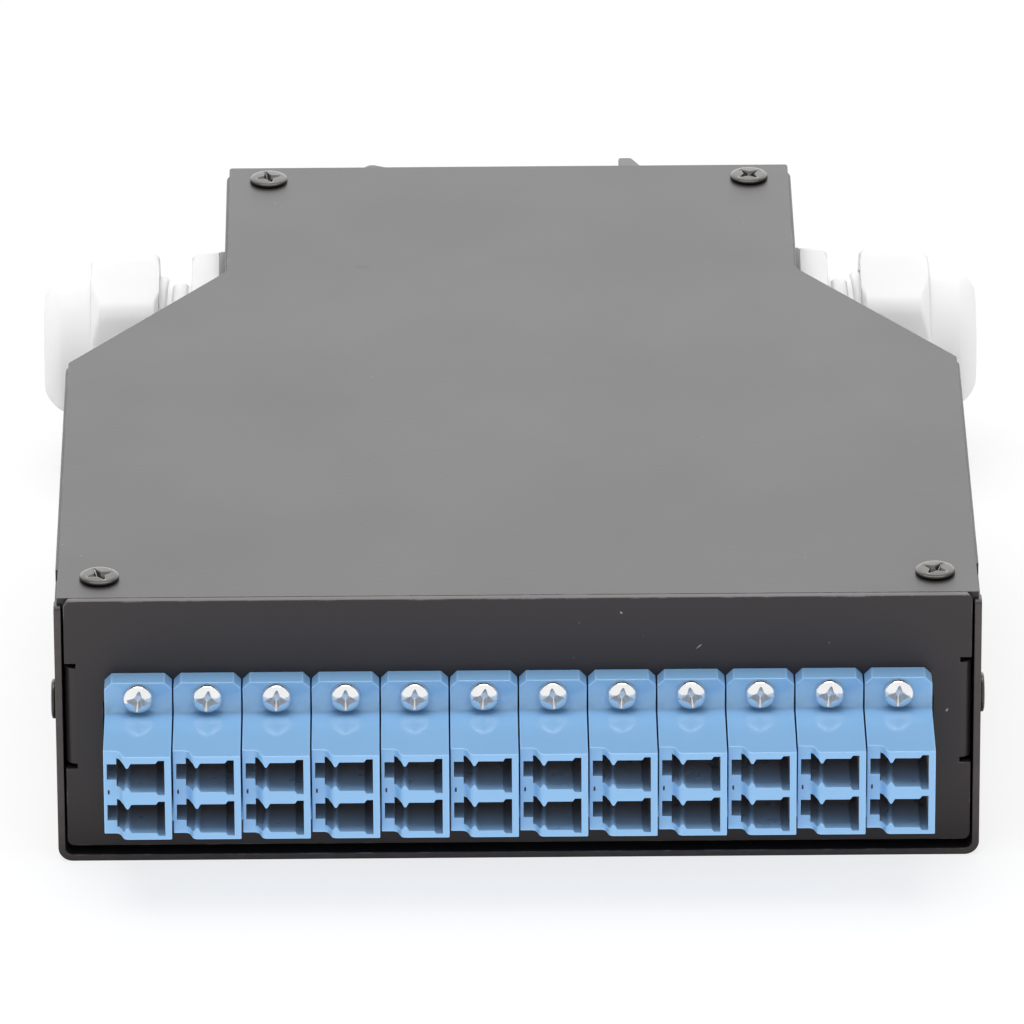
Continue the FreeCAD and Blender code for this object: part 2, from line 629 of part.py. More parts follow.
def gland_body():
    """Threaded gland body with its hexagon flange and clamping claws; X = 0 is the wall's face."""
    thread_start = -SHEET - GLAND_INNER_THREAD
    barrel = turned([
        ((thread_start, GLAND_BORE_RADIUS),), ((GLAND_SEAT_START, GLAND_BORE_RADIUS),),
        ((GLAND_SEAT_START, GLAND_SEAT_RADIUS),), ((CLAW_END, GLAND_SEAT_RADIUS),),
        ((CLAW_END, CLAW_TIP_RADIUS),), ((THREAD_END, CLAW_ROOT_RADIUS),),
        ((THREAD_END, THREAD_RADIUS),), ((thread_start, THREAD_RADIUS),)])
    bar = hex_bar(WASHER_THICKNESS, GLAND_FACE, HEX_FLAT_RADIUS, HEX_EDGE, HEX_CHAMFER)
    flange = bar.cut(rod(THREAD_RADIUS, FreeCAD.Vector(0, 0, 0), RIGHT, NUT_END))
    reach = 2 * CLAW_ROOT_RADIUS
    slits = []
    for i in range(CLAW_COUNT // 2):
        slit = box((THREAD_END, CLAW_END), (-reach, reach), (-CLAW_SLIT / 2, CLAW_SLIT / 2))
        slit.rotate(FreeCAD.Vector(0, 0, 0), RIGHT, i * 360 / CLAW_COUNT)
        slits.append(slit)
    return barrel.fuse(flange).cut(slits).removeSplitter()


def gland_nut():
    """Domed cap nut, run part of the way down the gland's outer thread."""
    hex_end = NUT_START + NUT_HEX_LENGTH
    dome_root = HEX_FLAT_RADIUS - DOME_STEP
    dome_top = dome_root - DOME_TAPER
    hole_radius = SEAL_BORE_RADIUS + NUT_MOUTH_GAP
    lip_radius = hole_radius + DOME_LIP
    round_start = NUT_END - DOME_ROUND
    drop = dome_top - lip_radius
    slant = math.hypot(DOME_ROUND, drop)
    round_middle = (NUT_END - DOME_ROUND / 2 + DOME_SAG * drop / slant,
                    lip_radius + drop / 2 + DOME_SAG * DOME_ROUND / slant)
    dome = turned([
        ((NUT_START, 0),), ((NUT_END, 0),), ((NUT_END, lip_radius),),
        (round_middle, (round_start, dome_top)), ((hex_end, dome_root),), ((NUT_START, dome_root),)])
    bar = hex_bar(NUT_START, hex_end, HEX_FLAT_RADIUS, HEX_CHAMFER, NUT_CHAMFER)
    bore_end = THREAD_END + NUT_TRAVEL + NUT_MOUTH_GAP
    cavity = turned([
        ((NUT_START, 0),), ((NUT_END, 0),), ((NUT_END, hole_radius),), ((NUT_SHOULDER, hole_radius),),
        ((NUT_SHOULDER, CLAW_TIP_RADIUS),), ((bore_end, CLAW_ROOT_RADIUS + NUT_MOUTH_GAP),),
        ((bore_end, NUT_BORE_RADIUS),), ((NUT_START, NUT_BORE_RADIUS),)])
    return dome.fuse(bar).cut(cavity).removeSplitter()


def gland_locknut():
    """Hexagon locknut inside the wall."""
    start = -SHEET - LOCKNUT_THICKNESS
    bar = hex_bar(start, -SHEET, NUT_BORE_RADIUS + LOCKNUT_WALL, HEX_CHAMFER, HEX_EDGE)
    return bar.cut(rod(NUT_BORE_RADIUS, FreeCAD.Vector(start, 0, 0), RIGHT, LOCKNUT_THICKNESS))


def gland_pieces():
    """Pieces of one gland on +X, by name, with the wall's outer face at X = 0."""
    return {
        "washer": ring(0, WASHER_THICKNESS, NUT_BORE_RADIUS, NUT_BORE_RADIUS + WASHER_OVERHANG),
        "body": gland_body(),
        "locknut": gland_locknut(),
        "seal": ring(SEAL_START, SEAL_END, SEAL_BORE_RADIUS, SEAL_RADIUS),
        "nut": gland_nut(),
    }


def clip_prism(corners, width):
    """Section in (x, depth behind the rear wall), as wide as given about the box's mid-height."""
    section = prism(outline([(x, depth, 0) for x, depth in corners]), -width / 2, width / 2)
    section.translate(FreeCAD.Vector(0, REAR, MIDDLE_Z))
    return section


def clip_block(x_range, depth_range, half_width):
    """Block in the clip's own stations."""
    depths = (REAR + depth_range[0], REAR + depth_range[1])
    return box(x_range, depths, (MIDDLE_Z - half_width, MIDDLE_Z + half_width))


def clip_body():
    """Rail clip with a fixed hook, a rail seat, a channel for the latch and a peg for its spring."""
    outer = -HOOK_WALL_X - CLIP_HOOK_WALL
    nose = -RAIL_WIDTH / 2 + CLIP_HOOK_OVERLAP
    crest = CLIP_GRIP + CLIP_HOOK_TIP + CLIP_HOOK_SLOPE
    body = clip_prism([
        (outer, 0), (CLIP_END_X, 0), (CLIP_END_X, CLIP_SEAT), (-HOOK_WALL_X, CLIP_SEAT),
        (-HOOK_WALL_X, CLIP_GRIP), (nose, CLIP_GRIP), (nose, CLIP_GRIP + CLIP_HOOK_TIP),
        (outer + 2 * CLIP_HOOK_CREST, crest), (outer + CLIP_HOOK_CREST, crest),
        (outer, crest - CLIP_HOOK_CREST)], CLIP_WIDTH)
    channel = clip_block((LATCH_TIP_X - SEAT_GAP, CLIP_END_X), (0, CHANNEL_DEPTH),
                         LATCH_PLATE_WIDTH / 2 + SEAT_GAP)
    peg = clip_block((SPRING_END, SPRING_END + SPRING_PEG), (LATCH_LIFT, CHANNEL_DEPTH),
                     SPRING_WIDTH / 2)
    holes = []
    for side in (-1, 1):
        start = FreeCAD.Vector(-CLIP_SCREW_X, REAR, MIDDLE_Z + side * CLIP_SCREW_RISE)
        holes.append(rod(TAPPED_CASE, start, BACK, CLIP_SCREW_LENGTH))
    return body.cut([channel] + holes).fuse(peg)


def clip_latch():
    """Sliding latch: a plate in the clip's channel, a hooked riser and a release tab."""
    low = LATCH_LIFT
    top = LATCH_LIFT + LATCH_PLATE
    plate = clip_block((LATCH_TIP_X, HOOK_WALL_X), (low, top), LATCH_PLATE_WIDTH / 2)
    pocket = clip_block((SPRING_START, POCKET_END), (low, top), SPRING_HALF_WIDTH)
    riser_end = HOOK_WALL_X + LATCH_RISER
    nose_top = CLIP_GRIP + LATCH_NOSE_HEIGHT
    tab_end = LATCH_TAB_X + LATCH_TAB
    head = clip_prism([
        (HOOK_WALL_X, low), (riser_end, low), (riser_end, nose_top - 2 * LATCH_NOSE_CREST),
        (LATCH_NOSE_X + LATCH_NOSE_CREST, nose_top), (LATCH_NOSE_X, nose_top),
        (LATCH_NOSE_X, CLIP_GRIP), (HOOK_WALL_X, CLIP_GRIP)], CLIP_WIDTH)
    tab = clip_prism([
        (HOOK_WALL_X, low), (tab_end, low), (tab_end, LATCH_TAB_HEIGHT - LATCH_TAB_CHAMFER),
        (tab_end - LATCH_TAB_CHAMFER, LATCH_TAB_HEIGHT), (LATCH_TAB_X, LATCH_TAB_HEIGHT),
        (LATCH_TAB_X, top), (HOOK_WALL_X, top)], LATCH_TAB_WIDTH)
    return plate.cut(pocket).fuse([head, tab]).removeSplitter()


def clip_spring():
    """Zigzag strip spring between the clip's peg and the latch's pocket."""
    step = SPRING_LENGTH / SPRING_FOLDS
    swing = SPRING_WIDTH / 2 - SPRING_STRIP
    path = [(SPRING_START + i * step, swing * (-1) ** i) for i in range(SPRING_FOLDS + 1)]
    lower = [(x, z - SPRING_STRIP, 0) for x, z in path]
    upper = [(x, z + SPRING_STRIP, 0) for x, z in reversed(path)]
    strip = prism(outline(lower + upper), 0, LATCH_PLATE)
    return oriented(strip, RIGHT, UP, FreeCAD.Vector(0, REAR + LATCH_LIFT + LATCH_PLATE, MIDDLE_Z))


def clip_screws():
    """Two screws from inside the box through the rear wall into the clip."""
    length = CLIP_SCREW_LENGTH + SHEET - SEAT_GAP
    plain = screw(CASE_SCREW, CASE_SCREW_HEAD, CLIP_SCREW_HEAD_HEIGHT, length)
    screws = []
    for side in (-1, 1):
        seat = FreeCAD.Vector(-CLIP_SCREW_X, REAR - SHEET, MIDDLE_Z + side * CLIP_SCREW_RISE)
        screws.append(oriented(plain, RIGHT, UP, seat))
    return Part.makeCompound(screws)


def tray_plan(inset):
    """Splice tray plan about its own middle."""
    half_x = TRAY_WIDTH / 2 - inset
    half_y = TRAY_DEPTH / 2 - inset
    radius = TRAY_CORNER - inset
    return outline([(-half_x, -half_y, radius), (half_x, -half_y, radius),
                    (half_x, half_y, radius), (-half_x, half_y, radius)])


def splice_tray():
    """Shallow moulded tray with a rim, fibre gaps at its ends and lips that keep fibres down."""
    rim_top = TRAY_FLOOR + TRAY_RIM
    well = prism(tray_plan(TRAY_WALL), TRAY_FLOOR, rim_top)
    cuts = [well]
    lips = []
    for side in (-1, 1):
        edge = side * TRAY_DEPTH / 2
        for end in (-1, 1):
            middle = end * (TRAY_WIDTH / 2 - TRAY_CORNER - TRAY_PORT_WIDTH / 2)
            span = (middle - TRAY_PORT_WIDTH / 2, middle + TRAY_PORT_WIDTH / 2)
            cuts.append(box(span, sorted((edge, edge - side * TRAY_WALL)), (TRAY_FLOOR, rim_top)))
        cuts.append(rod(CLEAR_CASE, FreeCAD.Vector(0, side * STANDOFF_Y, 0), UP, TRAY_FLOOR))
        reach = sorted((side * (TRAY_WIDTH / 2 - TRAY_WALL), side * (TRAY_WIDTH / 2 - TRAY_LIP_REACH)))
        half_lip = TRAY_LIP_WIDTH / 2
        lips.append(box(reach, (-half_lip, half_lip), (rim_top - TRAY_FLOOR, rim_top)))
    tray = prism(tray_plan(0), 0, rim_top).cut(cuts).fuse(lips).removeSplitter()
    tray.translate(FreeCAD.Vector(0, TRAY_Y, TRAY_Z))
    return tray


def splice_comb(side):
    """Comb that grips the splice sleeves, standing on the tray's floor."""
    pitch = COMB_SLOT + COMB_TOOTH
    length = COMB_SLOTS * pitch + COMB_TOOTH
    middle = side * COMB_SPACING / 2
    width = (middle - COMB_WIDTH / 2, middle + COMB_WIDTH / 2)
    floor = TRAY_Z + TRAY_FLOOR
    start = TRAY_Y - length / 2
    comb = box(width, (start, start + length), (floor, floor + COMB_HEIGHT))
    slots = []
    for i in range(COMB_SLOTS):
        low = start + COMB_TOOTH + i * pitch
        slots.append(box(width, (low, low + COMB_SLOT), (floor + COMB_BASE, floor + COMB_HEIGHT)))
    return comb.cut(slots)


def tray_standoffs():
    """Pressed-in standoffs that carry the splice tray."""
    posts = []
    for side in (-1, 1):
        foot = FreeCAD.Vector(0, TRAY_Y + side * STANDOFF_Y, 0)
        spigot = rod(STANDOFF_RADIUS - STANDOFF_SPIGOT / 2, foot, UP, SHEET)
        post = rod(STANDOFF_RADIUS, foot + UP * SHEET, UP, STANDOFF_HEIGHT)
        bore = rod(TAPPED_CASE, foot, UP, SHEET + STANDOFF_HEIGHT)
        posts.append(spigot.fuse(post).cut(bore))
    return Part.makeCompound(posts)


def tray_screws():
    """Screws through the splice tray into its standoffs."""
    plain = screw(CASE_SCREW, CASE_SCREW_HEAD, CLIP_SCREW_HEAD_HEIGHT, CASE_SCREW_LENGTH)
    places = [FreeCAD.Vector(0, TRAY_Y + side * STANDOFF_Y, TRAY_Z + TRAY_FLOOR) for side in (-1, 1)]
    return Part.makeCompound([oriented(plain, RIGHT, BACK, place) for place in places])


def all_nodes():
    """Every piece of the box, by node name."""
    nodes = {"base_tray": base_tray(), "lid": lid(), "front_panel": front_panel()}
    plain_adapter = adapter()
    for i, x in enumerate(adapter_places()):
        place = FreeCAD.Vector(x, FRONT, ADAPTER_Z)
        nodes[f"adapter_{i + 1:02d}"] = oriented(plain_adapter, RIGHT, BACK, place)
    nodes["alignment_sleeves"] = alignment_sleeves()
    nodes["adapter_screws"] = adapter_screws()
    nodes["lid_screws"] = lid_screws()
    nodes["panel_screws"] = panel_screws()
    for name, piece in gland_pieces().items():
        place = FreeCAD.Vector(NECK_WIDTH / 2, GLAND_Y, MIDDLE_Z)
        right = piece.translated(place)
        nodes[f"gland_right_{name}"] = right
        nodes[f"gland_left_{name}"] = right.mirror(FreeCAD.Vector(0, 0, 0), RIGHT)
    nodes["clip_body"] = clip_body()
    nodes["clip_latch"] = clip_latch()
    nodes["clip_spring"] = clip_spring()
    nodes["clip_screws"] = clip_screws()
    nodes["splice_tray"] = splice_tray()
    nodes["splice_comb_left"] = splice_comb(-1)
    nodes["splice_comb_right"] = splice_comb(1)
    nodes["tray_standoffs"] = tray_standoffs()
    nodes["tray_screws"] = tray_screws()
    return nodes


os.makedirs("parts", exist_ok=True)
for node_name, node_shape in all_nodes().items():
    node_shape.exportStep(os.path.join("parts", node_name + ".step"))
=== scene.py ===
"""Looks of a rail-mounted fibre box: softened edges, driven screws, gland threads, finishes and studio."""

import logging
import math
import random
from collections.abc import Callable
from dataclasses import dataclass, field, replace
from enum import Enum
from functools import cached_property

import bmesh
import bpy
from mathutils import Matrix, Vector


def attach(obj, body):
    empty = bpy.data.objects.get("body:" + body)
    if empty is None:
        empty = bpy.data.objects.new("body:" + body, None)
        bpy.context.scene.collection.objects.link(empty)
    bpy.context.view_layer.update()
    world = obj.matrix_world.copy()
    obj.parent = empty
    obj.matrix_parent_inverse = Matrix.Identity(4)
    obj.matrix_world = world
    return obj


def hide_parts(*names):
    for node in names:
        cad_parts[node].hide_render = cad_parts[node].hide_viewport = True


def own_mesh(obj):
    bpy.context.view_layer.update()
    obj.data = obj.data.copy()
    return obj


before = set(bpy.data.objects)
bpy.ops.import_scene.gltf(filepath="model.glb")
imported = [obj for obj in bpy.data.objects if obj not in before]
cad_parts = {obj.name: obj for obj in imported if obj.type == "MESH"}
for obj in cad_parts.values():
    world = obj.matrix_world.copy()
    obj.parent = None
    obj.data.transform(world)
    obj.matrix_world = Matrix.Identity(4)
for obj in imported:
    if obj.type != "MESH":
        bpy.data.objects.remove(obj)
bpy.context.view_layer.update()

LOG = logging.getLogger("fibre_box")
MM = 0.001
SEED = 7
FULL_TURN = 2 * math.pi
SEAM = 0.003 * MM
SHARP = 32.0
EDGE = "edge"
SIDES = (-1, 1)
UP = Vector((0, 0, 1))
FRONT = Vector((0, -1, 0))
Pair = tuple[float, float]
Triple = tuple[float, float, float]
Place = tuple[Vector, Vector, float]
Socket = bpy.types.NodeSocket


class Body(Enum):
    """Moving groups of the box."""

    BOX = "box"
    LEFT_SEAL = "left_seal"
    LEFT_NUT = "left_nut"
    RIGHT_SEAL = "right_seal"
    RIGHT_NUT = "right_nut"
    LATCH = "latch"


class Slot(Enum):
    """Named finishes of the part's record."""

    COAT = "case_coat"
    ADAPTER = "adapter_plastic"
    CERAMIC = "ceramic"
    BRIGHT = "bright_screw"
    DARK = "dark_screw"
    NYLON = "gland_nylon"
    WASHER = "washer_rubber"
    SEAL = "seal_rubber"
    CLIP = "clip_plastic"
    SPRING = "spring_steel"
    TRAY = "tray_plastic"
    COMB = "comb_plastic"


class LampUse(Enum):
    """What a lamp does: show in reflections alone, or light surfaces without showing in them."""

    REFLECTED = "reflected"
    SPREAD = "spread"


def rgba(colour: Triple) -> tuple[float, float, float, float]:
    """Colour with full alpha."""
    return (*colour, 1.0)


def ramp(start: Pair, end: Pair, steps: int) -> list[Pair]:
    """Even points from one point to another, with both of them."""
    return [tuple(a + (b - a) * i / steps for a, b in zip(start, end)) for i in range(steps + 1)]


def placed(bm: bmesh.types.BMesh, name: str) -> bpy.types.Object:
    """Make a mesh an object of the scene.

    Args:
        bm: the mesh; it is used up.
        name: the object's name.

    Returns:
        The new object.
    """
    mesh = bpy.data.meshes.new(name)
    bm.to_mesh(mesh)
    bm.free()
    made = bpy.data.objects.new(name, mesh)
    bpy.context.scene.collection.objects.link(made)
    return made


class Graph:
    """Lays nodes in one shader tree, and knows the places of the Mix node's colour sockets."""

    MIX_FIRST, MIX_SECOND, MIX_RESULT = 6, 7, 2

    def __init__(self, tree: bpy.types.NodeTree) -> None:
        """Keep the tree that the nodes go into."""
        self.tree = tree

    @classmethod
    def cleared(cls, owner: bpy.types.ID) -> "Graph":
        """Empty graph of a material or of the world.

        Args:
            owner: the material or the world.

        Returns:
            Its graph, without the nodes that it starts with.
        """
        owner.use_nodes = True
        owner.node_tree.nodes.clear()
        return cls(owner.node_tree)

    def add(self, kind: str, inputs: dict | None = None, **settings: object) -> bpy.types.Node:
        """Add a node.

        Args:
            kind: the node's type name.
            inputs: values or sockets for its inputs, by input name or index.
            settings: properties of the node itself.

        Returns:
            The new node.
        """
        node = self.tree.nodes.new(kind)
        for key, value in settings.items():
            setattr(node, key, value)
        for key, value in (inputs or {}).items():
            self.feed(node.inputs[key], value)
        return node

    def feed(self, socket: Socket, value: object) -> None:
        """Link an input to a socket, or set the input's own value.

        Args:
            socket: the input.
            value: a socket to link it to, or a plain value.
        """
        if isinstance(value, Socket):
            self.tree.links.new(value, socket)
        else:
            socket.default_value = value

    def math(self, operation: str, first: object, second: object = 0.0, clamp: bool = False) -> Socket:
        """Combine two values or sockets by an operation of the Math node."""
        node = self.add("ShaderNodeMath", {0: first, 1: second}, operation=operation, use_clamp=clamp)
        return node.outputs[0]

    def blend(self, factor: object, first: object, second: object) -> Socket:
        """Mix two colours or sockets by the share of the second."""
        inputs = {0: factor, self.MIX_FIRST: first, self.MIX_SECOND: second}
        return self.add("ShaderNodeMix", inputs, data_type="RGBA").outputs[self.MIX_RESULT]

    def cover(self, under: object, mask: Socket, strength: float, colour: Triple) -> Socket:
        """Lay a colour over another where a mask says."""
        return self.blend(self.math("MULTIPLY", mask, strength), under, rgba(colour))

    def span(self, value: object, low: float, high: float, start: float = 0.0, end: float = 1.0) -> Socket:
        """Map the range of a value from low to high onto the one from start to end, clamped."""
        inputs = {"Value": value, "From Min": low, "From Max": high, "To Min": start, "To Max": end}
        return self.add("ShaderNodeMapRange", inputs).outputs[0]

    def noise(self, vector: object, scale: object, detail: float = 3.0, rough: float = 0.5) -> Socket:
        """Noise at a vector, with its features per metre, octaves and weight of the finer ones."""
        inputs = {"Vector": vector, "Scale": scale, "Detail": detail, "Roughness": rough}
        return self.add("ShaderNodeTexNoise", inputs).outputs["Fac"]

    def shown(self, path: bpy.types.Node) -> Socket:
        """Mask of the rays that see the backdrop, from the camera or by way of metal and glass."""
        seen = self.math("ADD", path.outputs["Is Camera Ray"], path.outputs["Is Glossy Ray"])
        return self.math("ADD", seen, path.outputs["Is Transmission Ray"], clamp=True)


@dataclass
class Effects:
    """Shader groups that several finishes share, each built once. Scales in features per metre."""

    fine_ratio: float = 3.7
    fine_share: float = 0.35
    mottle_span: Pair = (0.3, 0.7)
    wear_scale: float = 260.0
    wear_span: Pair = (0.5, 0.68)
    speck_span: Pair = (0.02, 0.06)
    speck_rarity: float = 0.93
    scuff_fade: Pair = (0.55, 1.0)
    scuff_scale: float = 2600.0
    scuff_span: Pair = (0.3, 0.55)

    def start(self, name: str, inputs: tuple[str, ...], outputs: tuple[str, ...]) -> tuple:
        """Open a new group with its sockets.

        Args:
            name: the group's name.
            inputs: its inputs; Vector and Place are vectors and the others are values.
            outputs: its outputs, which are values.

        Returns:
            The group's graph, the sockets that it is given and those of its result.
        """
        tree = bpy.data.node_groups.new(name, "ShaderNodeTree")
        for key in inputs:
            kind = "NodeSocketVector" if key in ("Vector", "Place") else "NodeSocketFloat"
            tree.interface.new_socket(key, in_out="INPUT", socket_type=kind)
        for key in outputs:
            tree.interface.new_socket(key, in_out="OUTPUT", socket_type="NodeSocketFloat")
        graph = Graph(tree)
        return graph, graph.add("NodeGroupInput").outputs, graph.add("NodeGroupOutput").inputs

    @cached_property
    def grain(self) -> bpy.types.NodeTree:
        """Surface grain: a height for the bump, and a slow mottle for colour and gloss.

        Returns:
            The group.
        """
        names = ("Vector", "Scale", "Mottle Scale")
        graph, given, result = self.start("surface_grain", names, ("Height", "Mottle"))
        coarse = graph.noise(given["Vector"], given["Scale"], detail=2.0)
        finer = graph.math("MULTIPLY", given["Scale"], self.fine_ratio)
        fine = graph.noise(given["Vector"], finer, detail=2.0)
        height = graph.math("ADD", coarse, graph.math("MULTIPLY", fine, self.fine_share))
        graph.feed(result["Height"], height)
        slow = graph.noise(given["Vector"], given["Mottle Scale"], detail=4.0, rough=0.6)
        graph.feed(result["Mottle"], graph.span(slow, *self.mottle_span))
        return graph.tree

    @cached_property
    def wear(self) -> bpy.types.NodeTree:
        """Rubbed places along softened edges, broken up by noise.

        Returns:
            The group.
        """
        graph, given, result = self.start("edge_wear", ("Vector", "Edge"), ("Mask",))
        patches = graph.noise(given["Vector"], self.wear_scale, detail=4.0, rough=0.65)
        broken = graph.span(patches, *self.wear_span)
        graph.feed(result["Mask"], graph.math("MULTIPLY", broken, given["Edge"]))
        return graph.tree

    @cached_property
    def specks(self) -> bpy.types.NodeTree:
        """Sparse fine dust specks.

        Returns:
            The group.
        """
        graph, given, result = self.start("dust_specks", ("Vector", "Scale"), ("Mask",))
        cells = graph.add("ShaderNodeTexVoronoi", {"Vector": given["Vector"], "Scale": given["Scale"]})
        near = graph.span(cells.outputs["Distance"], *self.speck_span, 1.0, 0.0)
        split = graph.add("ShaderNodeSeparateColor", {0: cells.outputs["Color"]})
        chosen = graph.math("GREATER_THAN", split.outputs[0], self.speck_rarity)
        graph.feed(result["Mask"], graph.math("MULTIPLY", near, chosen))
        return graph.tree

    @cached_property
    def scuff(self) -> bpy.types.NodeTree:
        """One scuff: a soft-edged ellipsoid about the place's origin, broken up by noise.

        Returns:
            The group.
        """
        graph, given, result = self.start("scuff_mark", ("Vector", "Place"), ("Mask",))
        length = graph.add("ShaderNodeVectorMath", {0: given["Place"]}, operation="LENGTH")
        inside = graph.span(length.outputs["Value"], *self.scuff_fade, 1.0, 0.0)
        broken = graph.span(graph.noise(given["Vector"], self.scuff_scale), *self.scuff_span)
        graph.feed(result["Mask"], graph.math("MULTIPLY", inside, broken))
        return graph.tree


EFFECTS = Effects()


@dataclass(frozen=True)
class Scuff:
    """A small mark on a coated face: centre and half sizes in millimetres, turned by angles in radians."""

    centre: Triple
    half: Triple
    colour: Triple
    strength: float
    turn: Triple = (0.0, 0.0, 0.0)


@dataclass(frozen=True)
class Finish:
    """Colour, gloss (roughness and its spread) and grain (features per millimetre, depth) of a material."""

    name: str
    colour: Triple
    tint: Triple
    gloss: Pair
    grain: Pair
    mottle_per_mm: float = 0.05
    metallic: float = 0.0
    translucence: float = 0.0
    bleed: float = 4.0

    def material(self) -> bpy.types.Material:
        """Build the node material.

        Returns:
            A material with its grain, mottle and this finish's own marks.
        """
        made = bpy.data.materials.new(self.name)
        graph = Graph.cleared(made)
        coords = graph.add("ShaderNodeTexCoord").outputs["Object"]
        rough, spread = self.gloss
        per_mm, depth = self.grain
        scales = {"Scale": per_mm / MM, "Mottle Scale": self.mottle_per_mm / MM}
        grain = graph.add("ShaderNodeGroup", {"Vector": coords} | scales, node_tree=EFFECTS.grain)
        mottle = grain.outputs["Mottle"]
        colour = graph.blend(mottle, rgba(self.colour), rgba(self.tint))
        bump = graph.add("ShaderNodeBump", {
            "Strength": 1.0, "Distance": depth * MM, "Height": grain.outputs["Height"]})
        shader = graph.add("ShaderNodeBsdfPrincipled", {
            "Base Color": self.marks(graph, coords, colour), "Metallic": self.metallic,
            "Roughness": graph.span(mottle, 0.0, 1.0, rough - spread, rough + spread),
            "Normal": bump.outputs[0],
            "Subsurface Weight": self.translucence, "Subsurface Radius": (1.0, 1.0, 1.0),
            "Subsurface Scale": self.bleed * MM})
        graph.add("ShaderNodeOutputMaterial", {"Surface": shader.outputs[0]})
        return made

    def marks(self, graph: Graph, coords: Socket, colour: Socket) -> Socket:
        """Colour with this finish's own marks on it, which are none here."""
        return colour


@dataclass(frozen=True)
class PowderCoat(Finish):
    """Baked powder coat on sheet steel, rubbed along its edges and lightly scuffed."""

    rubbed: Triple = (0.2, 0.2, 0.2)
    rub_strength: float = 0.5
    dust: float = 0.2
    dust_per_mm: float = 0.35
    dust_colour: Triple = (0.5, 0.5, 0.5)
    scuffs: tuple[Scuff, ...] = ()

    def marks(self, graph: Graph, coords: Socket, colour: Socket) -> Socket:
        """Add edge wear, dust and the scuffs that this sheet shows.

        Args:
            graph: the material's graph.
            coords: the object coordinates' socket.
            colour: the colour so far.

        Returns:
            The colour with the marks on it.
        """
        edge = graph.add("ShaderNodeAttribute", attribute_name=EDGE).outputs["Fac"]
        wear = graph.add("ShaderNodeGroup", {"Vector": coords, "Edge": edge}, node_tree=EFFECTS.wear)
        colour = graph.cover(colour, wear.outputs["Mask"], self.rub_strength, self.rubbed)
        inputs = {"Vector": coords, "Scale": self.dust_per_mm / MM}
        specks = graph.add("ShaderNodeGroup", inputs, node_tree=EFFECTS.specks)
        colour = graph.cover(colour, specks.outputs["Mask"], self.dust, self.dust_colour)
        for scuff in self.scuffs:
            place = graph.add("ShaderNodeMapping", {
                "Vector": coords, "Location": Vector(scuff.centre) * MM, "Rotation": scuff.turn,
                "Scale": Vector(scuff.half) * MM}, vector_type="TEXTURE")
            inputs = {"Vector": coords, "Place": place.outputs[0]}
            mark = graph.add("ShaderNodeGroup", inputs, node_tree=EFFECTS.scuff)
            colour = graph.cover(colour, mark.outputs["Mask"], scuff.strength, scuff.colour)
        return colour


@dataclass(frozen=True)
class Moulding(Finish):
    """Glossy moulded plastic with a painted highlight along its rounded edges."""

    # The pale colour below is a painted highlight laid on the rounded edge strips.
    pale: Triple = (0.36, 0.62, 0.95)
    highlight_strength: float = 0.6

    def marks(self, graph: Graph, coords: Socket, colour: Socket) -> Socket:
        """Colour with a painted highlight along the rounded edges."""
        edge = graph.add("ShaderNodeAttribute", attribute_name=EDGE).outputs["Fac"]
        return graph.cover(colour, edge, self.highlight_strength, self.pale)


@dataclass(frozen=True)
class PortPaintedShade(Finish):
    """Floors of the adapter ports: the blue plastic falls off to a painted shade with depth behind the
    mouth.
    """

    # The deep colour is the painted shade; mouth and dark are where along Y, in millimetres, it starts and
    # where it is full.
    deep: Triple = (0.2, 0.2, 0.225)
    mouth: float = -88.9
    dark: float = -81.5

    def marks(self, graph: Graph, coords: Socket, colour: Socket) -> Socket:
        """Colour with a painted shade that darkens with depth behind the port's mouth."""
        depth = graph.add("ShaderNodeSeparateXYZ", {0: coords}).outputs["Y"]
        return graph.blend(graph.span(depth, self.mouth * MM, self.dark * MM), colour, rgba(self.deep))


LID_SCUFFS = (
    Scuff((-21.5, 36.9, 40.0), (1.5, 0.7, 0.5), (0.004, 0.004, 0.004), 0.8, (0.0, 0.0, -0.3)),
    Scuff((25.7, -21.3, 40.0), (0.35, 0.5, 0.5), (0.004, 0.004, 0.004), 0.8),
)
PANEL_SCUFFS = (
    Scuff((24.85, -72.5, 32.45), (0.62, 0.5, 0.07), (0.62, 0.62, 0.62), 0.9, (0.0, -0.72, 0.0)),
    Scuff((14.19, -72.5, 37.73), (0.16, 0.5, 0.24), (0.45, 0.45, 0.45), 0.8, (0.0, -0.5, 0.0)),
    Scuff((7.67, -72.5, 30.84), (0.14, 0.5, 0.14), (0.2, 0.2, 0.2), 0.7),
    Scuff((17.17, -72.5, 34.21), (0.1, 0.5, 0.1), (0.2, 0.2, 0.2), 0.6),
    Scuff((59.09, -72.5, 22.41), (0.2, 0.5, 0.3), (0.4, 0.4, 0.4), 0.7, (0.0, 0.4, 0.0)),
)
CHARCOAL = {"colour": (0.020, 0.0165, 0.0185), "tint": (0.024, 0.0205, 0.0225),
            "gloss": (0.42, 0.025), "grain": (1.6, 0.012), "mottle_per_mm": 0.03}
WARM_CHARCOAL = CHARCOAL | {"colour": (0.021, 0.0150, 0.0155), "tint": (0.025, 0.0185, 0.0190)}
